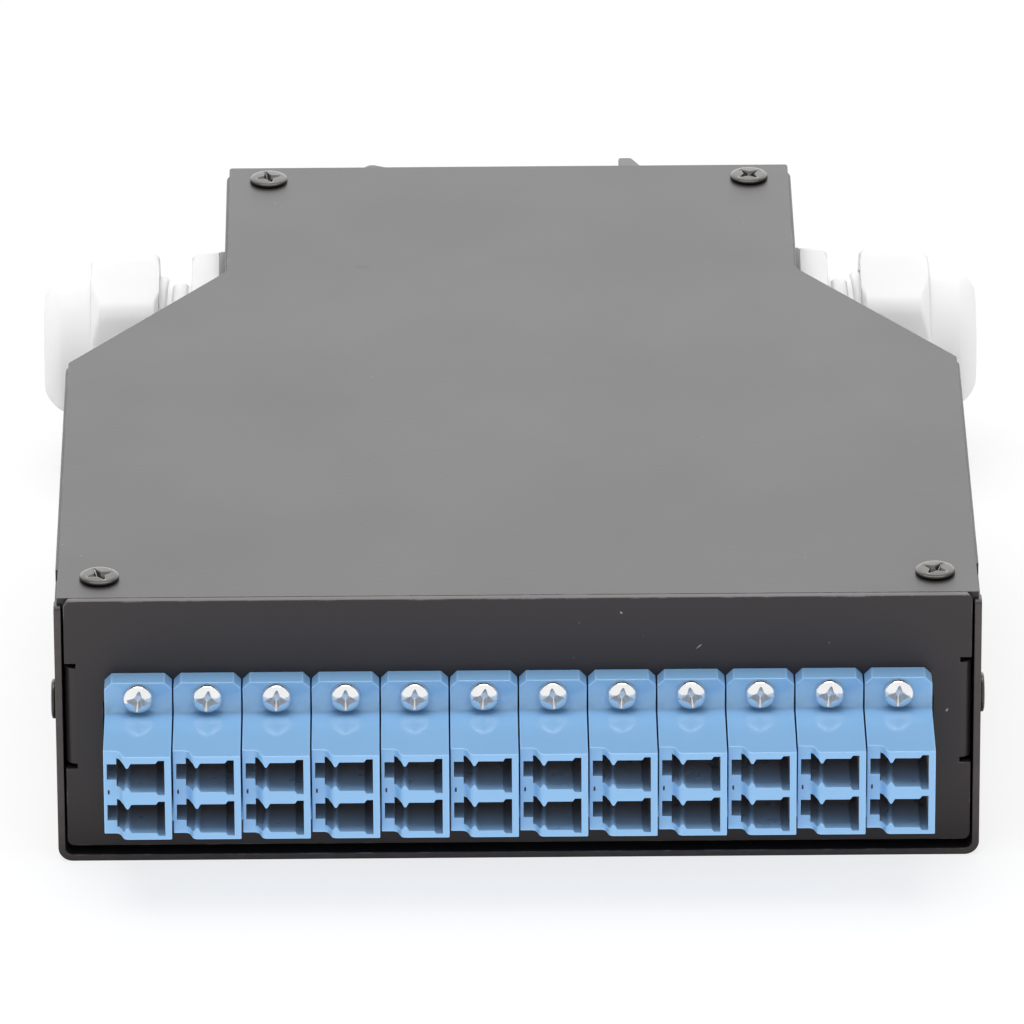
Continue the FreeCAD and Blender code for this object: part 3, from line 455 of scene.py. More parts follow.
PIECE_FINISHES = {
    "base": PowderCoat("coat_base", **CHARCOAL),
    "cut_edge": Finish("coat_cut_edge", (0.052, 0.040, 0.037), (0.072, 0.058, 0.054),
                       gloss=(0.45, 0.05), grain=(2.5, 0.01), mottle_per_mm=0.4),
    "lid": PowderCoat("coat_lid", **CHARCOAL, scuffs=LID_SCUFFS),
    "panel": PowderCoat("coat_panel", **WARM_CHARCOAL, scuffs=PANEL_SCUFFS),
    "adapter": Moulding("adapter_blue", (0.245, 0.475, 0.77), (0.26, 0.495, 0.795),
                        gloss=(0.11, 0.02), grain=(3.0, 0.0012)),
    # The ports' floors fade to painted shade with depth, and their other faces take a grey that is painted
    # shade in place of the blue plastic.
    "port_floor": PortPaintedShade("port_floor", (0.26, 0.50, 0.82), (0.29, 0.53, 0.85),
                             gloss=(0.3, 0.04), grain=(2.0, 0.002), mottle_per_mm=0.3),
    "port_painted_shade": Finish("port_painted_shade", (0.34, 0.335, 0.355), (0.36, 0.355, 0.375),
                        gloss=(0.4, 0.05), grain=(2.0, 0.003)),
}
RECESS_FINISHES = {
    # The bright screws' recess takes a darker zinc than their heads: painted shade in the recess.
    Slot.BRIGHT: Finish("bright_recess", (0.75, 0.76, 0.78), (0.8, 0.81, 0.83),
                        gloss=(0.36, 0.06), grain=(6.0, 0.002), mottle_per_mm=0.6, metallic=1.0),
    Slot.DARK: Finish("dark_recess", (0.12, 0.118, 0.115), (0.17, 0.168, 0.165),
                      gloss=(0.18, 0.05), grain=(6.0, 0.002), mottle_per_mm=0.6, metallic=1.0),
}
SLOT_FINISHES = {
    Slot.CERAMIC: Finish("zirconia", (0.75, 0.74, 0.7), (0.8, 0.79, 0.76),
                         gloss=(0.15, 0.03), grain=(4.0, 0.001)),
    Slot.BRIGHT: Finish("bright_zinc", (0.83, 0.84, 0.85), (0.9, 0.9, 0.9),
                        gloss=(0.13, 0.04), grain=(5.0, 0.0015), mottle_per_mm=0.4, metallic=1.0),
    Slot.DARK: Finish("dark_nickel", (0.05, 0.048, 0.045), (0.07, 0.068, 0.064),
                      gloss=(0.24, 0.05), grain=(4.0, 0.003), mottle_per_mm=0.4, metallic=1.0),
    Slot.NYLON: Finish("white_nylon", (0.86, 0.86, 0.86), (0.88, 0.88, 0.876),
                       gloss=(0.42, 0.04), grain=(1.2, 0.006), translucence=0.4),
    Slot.WASHER: Finish("grey_rubber", (0.2, 0.19, 0.2), (0.24, 0.23, 0.24),
                        gloss=(0.6, 0.05), grain=(3.0, 0.01)),
    Slot.SEAL: Finish("black_rubber", (0.015, 0.015, 0.016), (0.025, 0.025, 0.026),
                      gloss=(0.55, 0.08), grain=(2.0, 0.01)),
    Slot.CLIP: Finish("clip_grey", (0.05, 0.05, 0.052), (0.065, 0.065, 0.067),
                      gloss=(0.4, 0.05), grain=(1.5, 0.008)),
    Slot.SPRING: Finish("spring_steel", (0.5, 0.49, 0.47), (0.58, 0.57, 0.55),
                        gloss=(0.25, 0.06), grain=(5.0, 0.002), mottle_per_mm=0.3, metallic=1.0),
    Slot.TRAY: Finish("tray_ivory", (0.66, 0.65, 0.61), (0.71, 0.7, 0.66),
                      gloss=(0.4, 0.05), grain=(1.5, 0.006)),
    Slot.COMB: Finish("comb_white", (0.74, 0.74, 0.72), (0.79, 0.79, 0.77),
                      gloss=(0.38, 0.05), grain=(2.0, 0.005)),
}


class Palette:
    """The materials of the box: by piece, by record slot, and for the recesses of screws."""

    def __init__(self) -> None:
        """Build every finish once."""
        self.piece = {name: finish.material() for name, finish in PIECE_FINISHES.items()}
        self.recess = {slot: finish.material() for slot, finish in RECESS_FINISHES.items()}
        self.slot = {slot: finish.material() for slot, finish in SLOT_FINISHES.items()}


@dataclass
class Shop:
    """Turns meshes into finished pieces of the box. Millimetres and degrees."""

    palette: Palette
    weld: float = 0.002
    flat: float = 0.4
    crease: float = 50.0
    segments: int = 2
    pieces: list[bpy.types.Object] = field(default_factory=list)

    def merged(self, node: str) -> bmesh.types.BMesh:
        """Copy a CAD node's mesh with its loose triangles joined into whole faces.

        Args:
            node: the CAD node's name.

        Returns:
            The joined copy.
        """
        bm = bmesh.new()
        bm.from_mesh(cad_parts[node].data)
        bmesh.ops.remove_doubles(bm, verts=bm.verts, dist=self.weld * MM)
        bmesh.ops.dissolve_limit(bm, angle_limit=math.radians(self.flat), verts=bm.verts, edges=bm.edges)
        return bm

    def soften(self, bm: bmesh.types.BMesh, radius: float, sharp: float = SHARP,
               chosen: Callable[[bmesh.types.BMEdge], bool] = lambda edge: True) -> None:
        """Round the sharp outer edges of a mesh and mark the rounded strips.

        Args:
            bm: the mesh to soften.
            radius: size of the rounding.
            sharp: angle above which an edge is rounded.
            chosen: tells which edges may be rounded.
        """
        limit = math.radians(sharp)
        edges = [e for e in bm.edges
                 if e.is_manifold and e.is_convex and e.calc_face_angle() > limit and chosen(e)]
        strip = bm.faces.layers.float.get(EDGE) or bm.faces.layers.float.new(EDGE)
        result = bmesh.ops.bevel(
            bm, geom=edges, offset=radius * MM, offset_type="OFFSET", segments=self.segments, profile=0.5,
            affect="EDGES", material=-1, clamp_overlap=False, loop_slide=False)
        for face in result["faces"]:
            face[strip] = 1.0

    def finish(self, bm: bmesh.types.BMesh, name: str, body: Body, slot: Slot, nodes: tuple[str, ...],
               materials: tuple[bpy.types.Material, ...] = ()) -> bpy.types.Object:
        """Make a piece from a mesh: smooth it, dress it and let it ride on its body.

        Args:
            bm: the finished mesh, in the box's frame.
            name: the piece's name.
            body: the moving group it rides on.
            slot: the record's finish that it takes.
            nodes: CAD nodes that it stands for.
            materials: its materials in order, or none for the slot's own.

        Returns:
            The new piece.
        """
        piece = placed(bm, name)
        mesh = piece.data
        mesh.polygons.foreach_set("use_smooth", [True] * len(mesh.polygons))
        mesh.set_sharp_from_angle(angle=math.radians(self.crease))
        for material in materials or (self.palette.slot[slot],):
            mesh.materials.append(material)
        weighted = piece.modifiers.new("even_normals", "WEIGHTED_NORMAL")
        weighted.keep_sharp = True
        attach(piece, body.value)
        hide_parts(*nodes)
        self.pieces.append(piece)
        return piece

    def carved(self, blank: bmesh.types.BMesh, cutter: bmesh.types.BMesh) -> bpy.types.Mesh:
        """Take one solid out of another.

        Args:
            blank: the solid to cut; it is used up.
            cutter: the solid to take out; it is used up.

        Returns:
            The cut mesh.
        """
        pair = [placed(bm, "carving") for bm in (blank, cutter)]
        cut = pair[0].modifiers.new("cut", "BOOLEAN")
        cut.object = pair[1]
        cut.operation = "DIFFERENCE"
        cut.solver = "EXACT"
        cut.use_self = True
        graph = bpy.context.evaluated_depsgraph_get()
        made = bpy.data.meshes.new_from_object(pair[0].evaluated_get(graph))
        for obj in pair:
            bpy.data.objects.remove(obj)
        return made

    def softened(self, node: str, radius: float, slot: Slot, body: Body = Body.BOX, sharp: float = SHARP,
                 materials: tuple[bpy.types.Material, ...] = ()) -> None:
        """Replace a CAD node by a softened copy of itself.

        Args:
            node: the CAD node's name.
            radius: size of the edge rounding.
            slot: the record's finish that it takes.
            body: the moving group it rides on.
            sharp: angle above which an edge is rounded.
            materials: its materials, or none for the slot's own.
        """
        bm = self.merged(node)
        self.soften(bm, radius, sharp)
        self.finish(bm, node + "_soft", body, slot, (node,), materials)

    def plain(self, node: str, slot: Slot) -> None:
        """Dress a CAD node that keeps its own mesh.

        Args:
            node: the CAD node's name.
            slot: the record's finish that it takes.
        """
        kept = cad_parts[node]
        kept.data.materials.clear()
        kept.data.materials.append(self.palette.slot[slot])
        self.pieces.append(kept)


@dataclass(frozen=True)
class Screw:
    """A cross-recessed screw. Millimetres, with shares of the shank's and the recess's radius."""

    head: float
    rise: float
    rim: float
    shank: float
    length: float
    recess: float
    dome: float
    tip_share: float = 0.6
    pitch_share: float = 0.36
    root_share: float = 0.86
    neck_share: float = 0.95
    lead_share: float = 0.25
    plain_share: float = 0.5
    neck_depth: float = 0.12
    seat_round: float = 0.08
    crown_steps: int = 8
    facets: int = 40
    clear: float = 0.4
    deepest: float = 0.3
    depth_share: float = 0.75
    floor_star: Pair = (0.3, 0.2)
    mouth_star: Pair = (1.15, 0.5)
    wing: float = 0.07
    wings: int = 4
    skin: float = 0.06

    def blank(self) -> bmesh.types.BMesh:
        """Spin the screw's profile about Z, with its head seated on Z = 0.

        Returns:
            The closed blank, before its recess.
        """
        shank, head = self.shank, self.head
        points = [(0.0, -self.length), (shank * self.tip_share, -self.length)]
        pitch = shank * self.pitch_share
        start = -self.length + shank * self.lead_share
        for i in range(int((self.length - shank * self.plain_share) / pitch)):
            low = start + i * pitch
            points += [(shank * self.root_share, low), (shank, low + pitch / 2)]
        points += [(shank * self.root_share, -self.neck_depth), (shank * self.neck_share, 0.0),
                   (head - self.seat_round, 0.0), (head, self.seat_round), (head, self.rim)]
        flat = head * (1.0 - self.dome)
        for i in range(1, self.crown_steps):
            angle = i * math.pi / 2 / self.crown_steps
            points.append((flat + head * self.dome * math.cos(angle),
                           self.rim + (self.rise - self.rim) * math.sin(angle)))
        points.append((0.0, self.rise))
        bm = bmesh.new()
        verts = [bm.verts.new(Vector((r, 0.0, z)) * MM) for r, z in points]
        edges = [bm.edges.new(pair) for pair in zip(verts, verts[1:])]
        bmesh.ops.spin(bm, geom=verts + edges, cent=(0, 0, 0), axis=(0, 0, 1), dvec=(0, 0, 0),
                       angle=FULL_TURN, steps=self.facets, use_merge=True)
        bmesh.ops.remove_doubles(bm, verts=bm.verts, dist=SEAM)
        bmesh.ops.recalc_face_normals(bm, faces=bm.faces)
        return bm

    def cutter(self) -> bmesh.types.BMesh:
        """Four-winged star that narrows towards its floor, reaching down from above the head.

        Returns:
            The recess as a closed solid.
        """
        bm = bmesh.new()
        floor = max(self.rise - self.recess * self.depth_share, -self.deepest)
        rings = []
        for level, (tip, waist) in ((floor, self.floor_star), (self.rise + self.clear, self.mouth_star)):
            ring = []
            for i in range(self.wings):
                for angle, reach in ((-self.wing, tip), (self.wing, tip), (math.pi / self.wings, waist)):
                    turn = i * FULL_TURN / self.wings + angle
                    radius = reach * self.recess
                    place = Vector((radius * math.cos(turn), radius * math.sin(turn), level))
                    ring.append(bm.verts.new(place * MM))
            rings.append(ring)
        low, high = rings
        bm.faces.new(low[::-1])
        bm.faces.new(high)
        for i in range(len(low)):
            j = (i + 1) % len(low)
            bm.faces.new((low[i], low[j], high[j], high[i]))
        bmesh.ops.triangulate(bm, faces=bm.faces)
        bmesh.ops.recalc_face_normals(bm, faces=bm.faces)
        return bm

    def in_recess(self, face: bmesh.types.BMFace) -> bool:
        """Whether a face of the driven screw lies in its recess.

        Args:
            face: a face of the master screw.

        Returns:
            True below the head's crown and inside its rim.
        """
        middle = face.calc_center_median() / MM
        radius = math.hypot(middle.x, middle.y)
        flat = self.head * (1.0 - self.dome)
        share = min(max((radius - flat) / (self.head * self.dome), 0.0), 1.0)
        crown = self.rim + (self.rise - self.rim) * math.sqrt(1.0 - share * share)
        return radius < self.recess and 0.0 < middle.z + self.deepest and middle.z < crown - self.skin

    def drive(self, shop: Shop, node: str, slot: Slot, places: list[Place]) -> None:
        """Set a finished screw at each place, as one piece.

        Args:
            shop: where the piece is made.
            node: the CAD node that the screws stand for.
            slot: the record's finish that they take.
            places: seat, axis and turn of each screw.
        """
        master = shop.carved(self.blank(), self.cutter())
        bm = bmesh.new()
        bm.from_mesh(master)
        for face in bm.faces:
            face.material_index = 1 if self.in_recess(face) else 0
        bm.to_mesh(master)
        bm.clear()
        for point, axis, turn in places:
            before = set(bm.verts)
            bm.from_mesh(master)
            fresh = [v for v in bm.verts if v not in before]
            lean = UP.rotation_difference(axis).to_matrix()
            bmesh.ops.rotate(bm, verts=fresh, cent=(0, 0, 0), matrix=lean @ Matrix.Rotation(turn, 3, "Z"))
            bmesh.ops.translate(bm, verts=fresh, vec=point * MM)
        bpy.data.meshes.remove(master)
        materials = (shop.palette.slot[slot], shop.palette.recess[slot])
        shop.finish(bm, node + "_driven", Body.BOX, slot, (node,), materials)


LOW_HEAD = Screw(head=2.75, rise=0.7, rim=0.42, shank=1.5, length=5.0, recess=1.95, dome=0.3)
PAN_HEAD = Screw(head=2.75, rise=1.8, rim=0.7, shank=1.5, length=5.0, recess=1.5, dome=0.6)
SMALL_PAN_HEAD = Screw(head=2.1, rise=1.5, rim=0.5, shank=1.0, length=6.0, recess=1.85, dome=0.72)


@dataclass
class Enclosure:
    """Folded base, lid and front panel with their screws. Millimetres, turns in radians."""

    front: float = -72.5
    height: float = 40.0
    half_width: float = 63.75
    fold: float = 2.0
    lid_places: tuple[Pair, ...] = ((-57.55, -65.3), (57.55, -65.3), (-35.3, 67.3), (35.3, 67.3))
    lid_turns: tuple[float, ...] = (0.42, 1.0, 0.25, 0.7)
    panel_screw: Pair = (-66.9, 22.4)
    panel_turn: float = 0.3
    sheet_round: float = 0.14
    lid_round: float = 0.1
    panel_round: float = 0.15
    facing: float = 0.5

    def build(self, shop: Shop) -> None:
        """Soften the sheet pieces and drive their screws.

        Args:
            shop: where the pieces are made.
        """
        looks = shop.palette.piece
        bm = shop.merged("base_tray")
        shop.soften(bm, self.sheet_round)
        for face in bm.faces:
            middle = face.calc_center_median() / MM
            ahead = face.normal.y < -self.facing and middle.y < self.front + self.sheet_round
            if ahead and middle.z > self.fold:
                face.material_index = 1
        materials = (looks["base"], looks["cut_edge"])
        shop.finish(bm, "base_tray_soft", Body.BOX, Slot.COAT, ("base_tray",), materials)
        shop.softened("lid", self.lid_round, Slot.COAT, materials=(looks["lid"],))
        shop.softened("front_panel", self.panel_round, Slot.COAT, materials=(looks["panel"],))
        tops = [(Vector((x, y, self.height)), UP, turn)
                for (x, y), turn in zip(self.lid_places, self.lid_turns)]
        LOW_HEAD.drive(shop, "lid_screws", Slot.DARK, tops)
        y, z = self.panel_screw
        flanks = [(Vector((s * self.half_width, y, z)), Vector((s, 0, 0)), self.panel_turn) for s in SIDES]
        LOW_HEAD.drive(shop, "panel_screws", Slot.DARK, flanks)


@dataclass
class AdapterRow:
    """Twelve duplex adapters with their sleeves and screws. Millimetres, turns in degrees."""

    count: int = 12
    pitch: float = 9.5
    middle_z: float = 18.0
    flange_front: float = -75.7
    tip: float = -88.9
    setback: float = 1.95
    half_width: float = 4.65
    half_height: float = 6.35
    screw_rise: float = 8.85
    screw_turn: float = 9.0
    edge_round: float = 0.13
    port_round: float = 0.05
    port_margin: float = 0.15
    slot_place: float = 0.68
    slot_size: Triple = (0.26, 1.4, 0.66)
    # Extent of the faces inside the ports that get painted shade.
    port_shade_inset: Pair = (0.2, 0.3)
    port_shade_start: float = 0.5
    port_shade_end: float = 12.8
    rim_depth: float = 0.3
    tilted: float = 0.3

    def build(self, shop: Shop) -> None:
        """Soften the adapters, paint shade into their ports and drive their screws.

        Args:
            shop: where the pieces are made.
        """
        draw = random.Random(SEED)
        materials = tuple(shop.palette.piece[look] for look in ("adapter", "port_floor", "port_painted_shade"))
        first = -(self.count - 1) / 2 * self.pitch
        master = self.master(shop, first)
        places = []
        for i in range(self.count):
            node = f"adapter_{i + 1:02d}"
            step = i * self.pitch
            bm = bmesh.new()
            bm.from_mesh(master)
            bmesh.ops.translate(bm, verts=bm.verts, vec=Vector((step, 0, 0)) * MM)
            shop.finish(bm, node + "_soft", Body.BOX, Slot.ADAPTER, (node,), materials)
            for side in SIDES:
                seat = Vector((first + step, self.flange_front, self.middle_z + side * self.screw_rise))
                turn = math.radians(draw.uniform(-self.screw_turn, self.screw_turn))
                places.append((seat, FRONT, turn))
        bpy.data.meshes.remove(master)
        shop.plain("alignment_sleeves", Slot.CERAMIC)
        SMALL_PAN_HEAD.drive(shop, "adapter_screws", Slot.BRIGHT, places)

    def in_ports(self, vert: bmesh.types.BMVert, x: float) -> bool:
        """Whether a vertex lies inside the outline that holds an adapter's ports.

        Args:
            vert: the vertex.
            x: the adapter's middle.

        Returns:
            True within the outline of the body that stands in front of the flange.
        """
        place = vert.co / MM
        across = abs(place.x - x) < self.half_width - self.port_margin
        return across and abs(place.z - self.middle_z) < self.half_height - self.port_margin

    def in_painted_port_shade(self, face: bmesh.types.BMFace, x: float) -> bool:
        """Whether a face inside one of an adapter's ports takes the painted port shade.

        Args:
            face: a face of the adapter.
            x: the adapter's middle.

        Returns:
            True for faces inside the ports, behind their rims, which get the painted shade.
        """
        middle = face.calc_center_median() / MM
        across, upward = self.port_shade_inset
        aside = abs(middle.x - x) < self.half_width - across
        within = abs(middle.z - self.middle_z) < self.half_height - upward
        behind = self.tip + self.port_shade_start < middle.y < self.flange_front + self.port_shade_end
        rim = abs(face.normal.y) > self.tilted and middle.y < self.tip + self.setback + self.rim_depth
        return aside and within and behind and not rim

    def master(self, shop: Shop, x: float) -> bpy.types.Mesh:
        """Cut the slot in the first adapter's divider, soften it and sort its port faces into the painted
        shade.

        Args:
            shop: where the mesh is cut.
            x: the adapter's middle.

        Returns:
            The adapter's mesh, with port floors in slot 1 (painted shade with depth) and other port faces
            in slot 2 (painted shade).
        """
        slot = bmesh.new()
        bmesh.ops.create_cube(slot, size=1.0, matrix=Matrix.Diagonal(Vector(self.slot_size) * MM).to_4x4())
        place = Vector((x - self.half_width + self.slot_place, self.tip + self.setback, self.middle_z))
        bmesh.ops.translate(slot, verts=slot.verts, vec=place * MM)
        made = shop.carved(shop.merged("adapter_01"), slot)
        bm = bmesh.new()
        bm.from_mesh(made)
        rims = {edge for edge in bm.edges if all(self.in_ports(vert, x) for vert in edge.verts)}
        shop.soften(bm, self.port_round, chosen=lambda edge: edge in rims)
        shop.soften(bm, self.edge_round,
                    chosen=lambda edge: not any(self.in_ports(vert, x) for vert in edge.verts))
        for face in bm.faces:
            # Faces inside the ports get painted shade: floors fade with depth, and the others take a grey.
            if self.in_painted_port_shade(face, x):
                face.material_index = 1 if face.normal.z > self.tilted else 2
        bm.to_mesh(made)
        bm.free()
        return made


@dataclass
class CableGland:
    """One cable gland on the neck: washer, threaded body, locknut, seal and domed nut. Millimetres."""

    side: str
    sign: int
    seal_body: Body
    nut_body: Body
    axis_y: float = 54.25
    axis_z: float = 20.0
    wall: float = 41.5
    washer_round: float = 0.2
    seal_round: float = 0.3
    edge_round: float = 0.25
    hex_sharp: float = 52.0
    barrel: float = 9.9
    barrel_band: Pair = (0.25, 0.1)
    core: float = 9.1
    crest: float = 9.7
    flange_end: float = 5.0
    thread_end: float = 15.0
    thread_run: Pair = (0.5, 1.2)
    thread_sink: float = 0.3
    thread_shape: Triple = (0.16, 0.62, 0.78)
    thread_steps: int = 48
    pitch: float = 3.0
    nut_start: float = 9.8
    hex_end: float = 19.8
    nut_end: float = 26.7
    flat: float = 12.0
    corner: float = 13.256
    corners: int = 6
    planed: Pair = (0.05, 0.6)
    mouth_chamfer: float = 0.8
    mouth_steps: int = 4
    corner_chamfer: float = 1.4
    corner_steps: int = 6
    tilt: float = 12.7
    dome: Triple = (11.0, 10.0, 7.0)
    dome_foot: float = 0.1
    dome_round: float = 2.65
    dome_sag: float = 0.4
    dome_steps: int = 12
    side_steps: int = 3
    bore: float = 10.05
    bore_end: float = 18.6
    shoulder: float = 22.1
    cone: Pair = (9.05, 7.85)
    hole: float = 6.6
    facets: int = 96

    @property
    def centre(self) -> Vector:
        """Point of the gland's axis on the box's middle plane, in metres."""
        return Vector((0, self.axis_y, self.axis_z)) * MM

    def node(self, part: str) -> str:
        """Name of the CAD node of one of the gland's parts."""
        return f"gland_{self.side}_{part}"

    def radius_of(self, vert: bmesh.types.BMVert) -> float:
        """Distance of a vertex from the gland's axis, in millimetres."""
        return math.hypot(vert.co.y / MM - self.axis_y, vert.co.z / MM - self.axis_z)

    def station_of(self, vert: bmesh.types.BMVert) -> float:
        """Distance of a vertex outward from the neck wall, in millimetres."""
        return self.sign * vert.co.x / MM - self.wall

    def reset_radius(self, vert: bmesh.types.BMVert, radius: float) -> None:
        """Move a vertex straight to or from the gland's axis.

        Args:
            vert: the vertex.
            radius: its new distance from the axis.
        """
        offset = vert.co - self.centre
        offset.x = 0.0
        vert.co += offset * (radius / self.radius_of(vert) - 1.0)

    def thread(self, bm: bmesh.types.BMesh) -> None:
        """Wind a coarse rounded thread round the outer barrel.

        Args:
            bm: the gland body's mesh.
        """
        lead, run_out = self.thread_run
        start = self.flange_end + lead
        length = self.thread_end - run_out - start - self.pitch
        rise, fall, end = (self.pitch * share for share in self.thread_shape)
        sunk = self.core - self.thread_sink
        section = [(0.0, sunk), (0.0, self.core), (rise, self.crest), (fall, self.crest),
                   (end, self.core), (end, sunk)]
        verts = []
        for along, radius in section:
            x = self.sign * (self.wall + start + along)
            verts.append(bm.verts.new(Vector((x, self.axis_y, self.axis_z + radius)) * MM))
        face = bm.faces.new(verts)
        turns = length / self.pitch
        steps = int(self.thread_steps * turns)
        advance = Vector((self.sign * length / steps, 0, 0)) * MM
        bmesh.ops.spin(bm, geom=verts + list(face.edges) + [face], axis=(1, 0, 0), dvec=advance,
                       cent=self.centre, angle=turns * FULL_TURN, steps=steps, use_merge=False)

    def nut_section(self) -> list[Pair]:
        """Closed section of the domed nut as (station, radius), with the hexagon at its corners' radius.

        Returns:
            The section's corners in order, from the mouth outward and back through the bore.
        """
        root, top, lip = self.dome
        mouth, chamfer, end = self.mouth_chamfer, self.corner_chamfer, self.hex_end
        section = ramp((self.nut_start, self.corner - mouth), (self.nut_start + mouth, self.corner),
                       self.mouth_steps)
        section += ramp((end - chamfer, self.corner), (end, self.corner - chamfer), self.corner_steps)
        section += [(end, root + self.dome_foot), (end + self.dome_foot, root)]
        start = self.nut_end - self.dome_round
        section += ramp((end, root), (start, top), self.side_steps)[1:]
        drop = top - lip
        slant = math.hypot(self.dome_round, drop)
        for i in range(1, self.dome_steps + 1):
            share = i / self.dome_steps
            bulge = 4 * self.dome_sag * share * (1 - share)
            section.append((start + self.dome_round * share + bulge * drop / slant,
                            top - drop * share + bulge * self.dome_round / slant))
        wide, narrow = self.cone
        section += [(self.nut_end, self.hole), (self.shoulder, self.hole), (self.shoulder, narrow),
                    (self.bore_end, wide), (self.bore_end, self.bore), (self.nut_start, self.bore)]
        return section

    def nut(self, shop: Shop) -> None:
        """Turn the domed nut about the gland's axis and plane its hexagon.

        Args:
            shop: where the piece is made.
        """
        bm = bmesh.new()
        lean = math.radians(self.tilt)
        verts = []
        for station, radius in self.nut_section():
            x = self.sign * (self.wall + station)
            place = Vector((x, -radius * math.sin(lean), radius * math.cos(lean)))
            verts.append(bm.verts.new(self.centre + place * MM))
        edges = [bm.edges.new(pair) for pair in zip(verts, verts[1:] + verts[:1])]
        bmesh.ops.spin(bm, geom=verts + edges, cent=self.centre, axis=(1, 0, 0), dvec=(0, 0, 0),
                       angle=FULL_TURN, steps=self.facets, use_merge=True)
        bmesh.ops.remove_doubles(bm, verts=bm.verts, dist=SEAM)
        sector = FULL_TURN / self.corners
        past, depth = self.planed
        for vert in bm.verts:
            radius = self.radius_of(vert)
            if self.station_of(vert) > self.hex_end + past or radius < self.flat - depth:
                continue
            offset = vert.co - self.centre
            turn = math.atan2(-offset.y, offset.z) - lean
            within = (turn + sector / 2) % sector - sector / 2
            self.reset_radius(vert, min(radius, self.flat / math.cos(within)))
        bmesh.ops.recalc_face_normals(bm, faces=bm.faces)
        node = self.node("nut")
        shop.finish(bm, node + "_turned", self.nut_body, Slot.NYLON, (node,))

    def body(self, shop: Shop) -> None:
        """Soften the gland's body and wind its outer thread.

        Args:
            shop: where the piece is made.
        """
        node = self.node("body")
        bm = shop.merged(node)
        shop.soften(bm, self.edge_round, self.hex_sharp)
        band, past = self.barrel_band
        for vert in bm.verts:
            near = abs(self.radius_of(vert) - self.barrel) < band
            if near and self.flange_end - past < self.station_of(vert) < self.thread_end + past:
                self.reset_radius(vert, self.core)
        ready = set(bm.faces)
        self.thread(bm)
        bmesh.ops.recalc_face_normals(bm, faces=[f for f in bm.faces if f not in ready])
        shop.finish(bm, node + "_threaded", Body.BOX, Slot.NYLON, (node,))

    def build(self, shop: Shop) -> None:
        """Make all the pieces of the gland.

        Args:
            shop: where the pieces are made.
        """
        shop.softened(self.node("washer"), self.washer_round, Slot.WASHER)
        self.body(shop)
        shop.softened(self.node("locknut"), self.edge_round, Slot.NYLON, sharp=self.hex_sharp)
        shop.softened(self.node("seal"), self.seal_round, Slot.SEAL, self.seal_body)
        self.nut(shop)


@dataclass
class RailClip:
    """Sprung clip on the rear wall. Millimetres, turns in radians."""

    rear: float = 72.5
    sheet: float = 1.0
    middle_z: float = 20.0
    screw_x: float = -4.0
    screw_rise: float = 11.4
    screw_turn: float = 0.5
    screw_length: float = 5.2
    edge_round: float = 0.3
    spring_foot: float = 5.7
    spring_length: float = 15.0
    latch_travel: float = 3.0

    def spring(self, shop: Shop) -> None:
        """Copy the spring as a piece with a mesh of its own.

        Args:
            shop: where the piece is made.
        """
        bm = shop.merged("clip_spring")
        piece = shop.finish(bm, "clip_spring_strip", Body.BOX, Slot.SPRING, ("clip_spring",))
        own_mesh(piece)

    def build(self, shop: Shop) -> None:
        """Soften the clip and its latch, copy its spring and drive its screws.

        Args:
            shop: where the pieces are made.
        """
        shop.softened("clip_body", self.edge_round, Slot.CLIP)
        shop.softened("clip_latch", self.edge_round, Slot.CLIP, Body.LATCH)
        self.spring(shop)
        places = []
        for side in SIDES:
            seat = Vector((self.screw_x, self.rear - self.sheet, self.middle_z + side * self.screw_rise))
            places.append((seat, FRONT, side * self.screw_turn))
        replace(PAN_HEAD, length=self.screw_length).drive(shop, "clip_screws", Slot.DARK, places)


@dataclass
class SplicePack:
    """Splice tray with its combs, standoffs and screws. Millimetres, turns in radians."""

    middle_y: float = 2.5
    floor_z: float = 6.5
    post_y: float = 19.0
    screw_turn: float = 0.2
    tray_round: float = 0.3
    comb_round: float = 0.15
    post_round: float = 0.12

    def build(self, shop: Shop) -> None:
        """Soften the tray and its fittings and drive its screws.

        Args:
            shop: where the pieces are made.
        """
        shop.softened("splice_tray", self.tray_round, Slot.TRAY)
        for side in ("left", "right"):
            shop.softened(f"splice_comb_{side}", self.comb_round, Slot.COMB)
        shop.softened("tray_standoffs", self.post_round, Slot.BRIGHT)
        places = [(Vector((0, self.middle_y + s * self.post_y, self.floor_z)), UP, self.screw_turn)
                  for s in SIDES]
        PAN_HEAD.drive(shop, "tray_screws", Slot.BRIGHT, places)


@dataclass(frozen=True)
class Lamp:
    """A soft box that faces the object. Metres, with the brightness of its surface."""

    name: str
    place: Triple
    size: Pair
    radiance: float
    use: LampUse
    aim: Triple = (0.0, 0.0, 0.02)

    def hang(self) -> None:
        """Put the lamp in the scene."""
        data = bpy.data.lights.new(self.name, "AREA")
        data.shape = "RECTANGLE"
        data.size, data.size_y = self.size
        data.energy = self.radiance * math.pi * self.size[0] * self.size[1]
        lamp = bpy.data.objects.new(self.name, data)
        turn = (Vector(self.aim) - Vector(self.place)).to_track_quat("-Z", "Y").to_matrix().to_4x4()
        lamp.matrix_world = Matrix.Translation(self.place) @ turn
        lamp.visible_camera = False
        lamp.visible_diffuse = self.use is LampUse.SPREAD
        lamp.visible_glossy = self.use is LampUse.REFLECTED
        bpy.context.scene.collection.objects.link(lamp)


LAMPS = (
    Lamp("back_box", (0.0, 0.9, 0.46), (1.3, 0.9), 1.9, LampUse.REFLECTED),
    Lamp("top_box", (0.0, 0.28, 1.3), (1.2, 0.6), 4.0, LampUse.REFLECTED),
    Lamp("key_box", (-0.1, -0.05, 1.35), (1.2, 1.2), 3.1, LampUse.SPREAD),
    Lamp("front_box", (0.0, -1.3, 0.5), (1.6, 0.9), 0.25, LampUse.SPREAD),
)


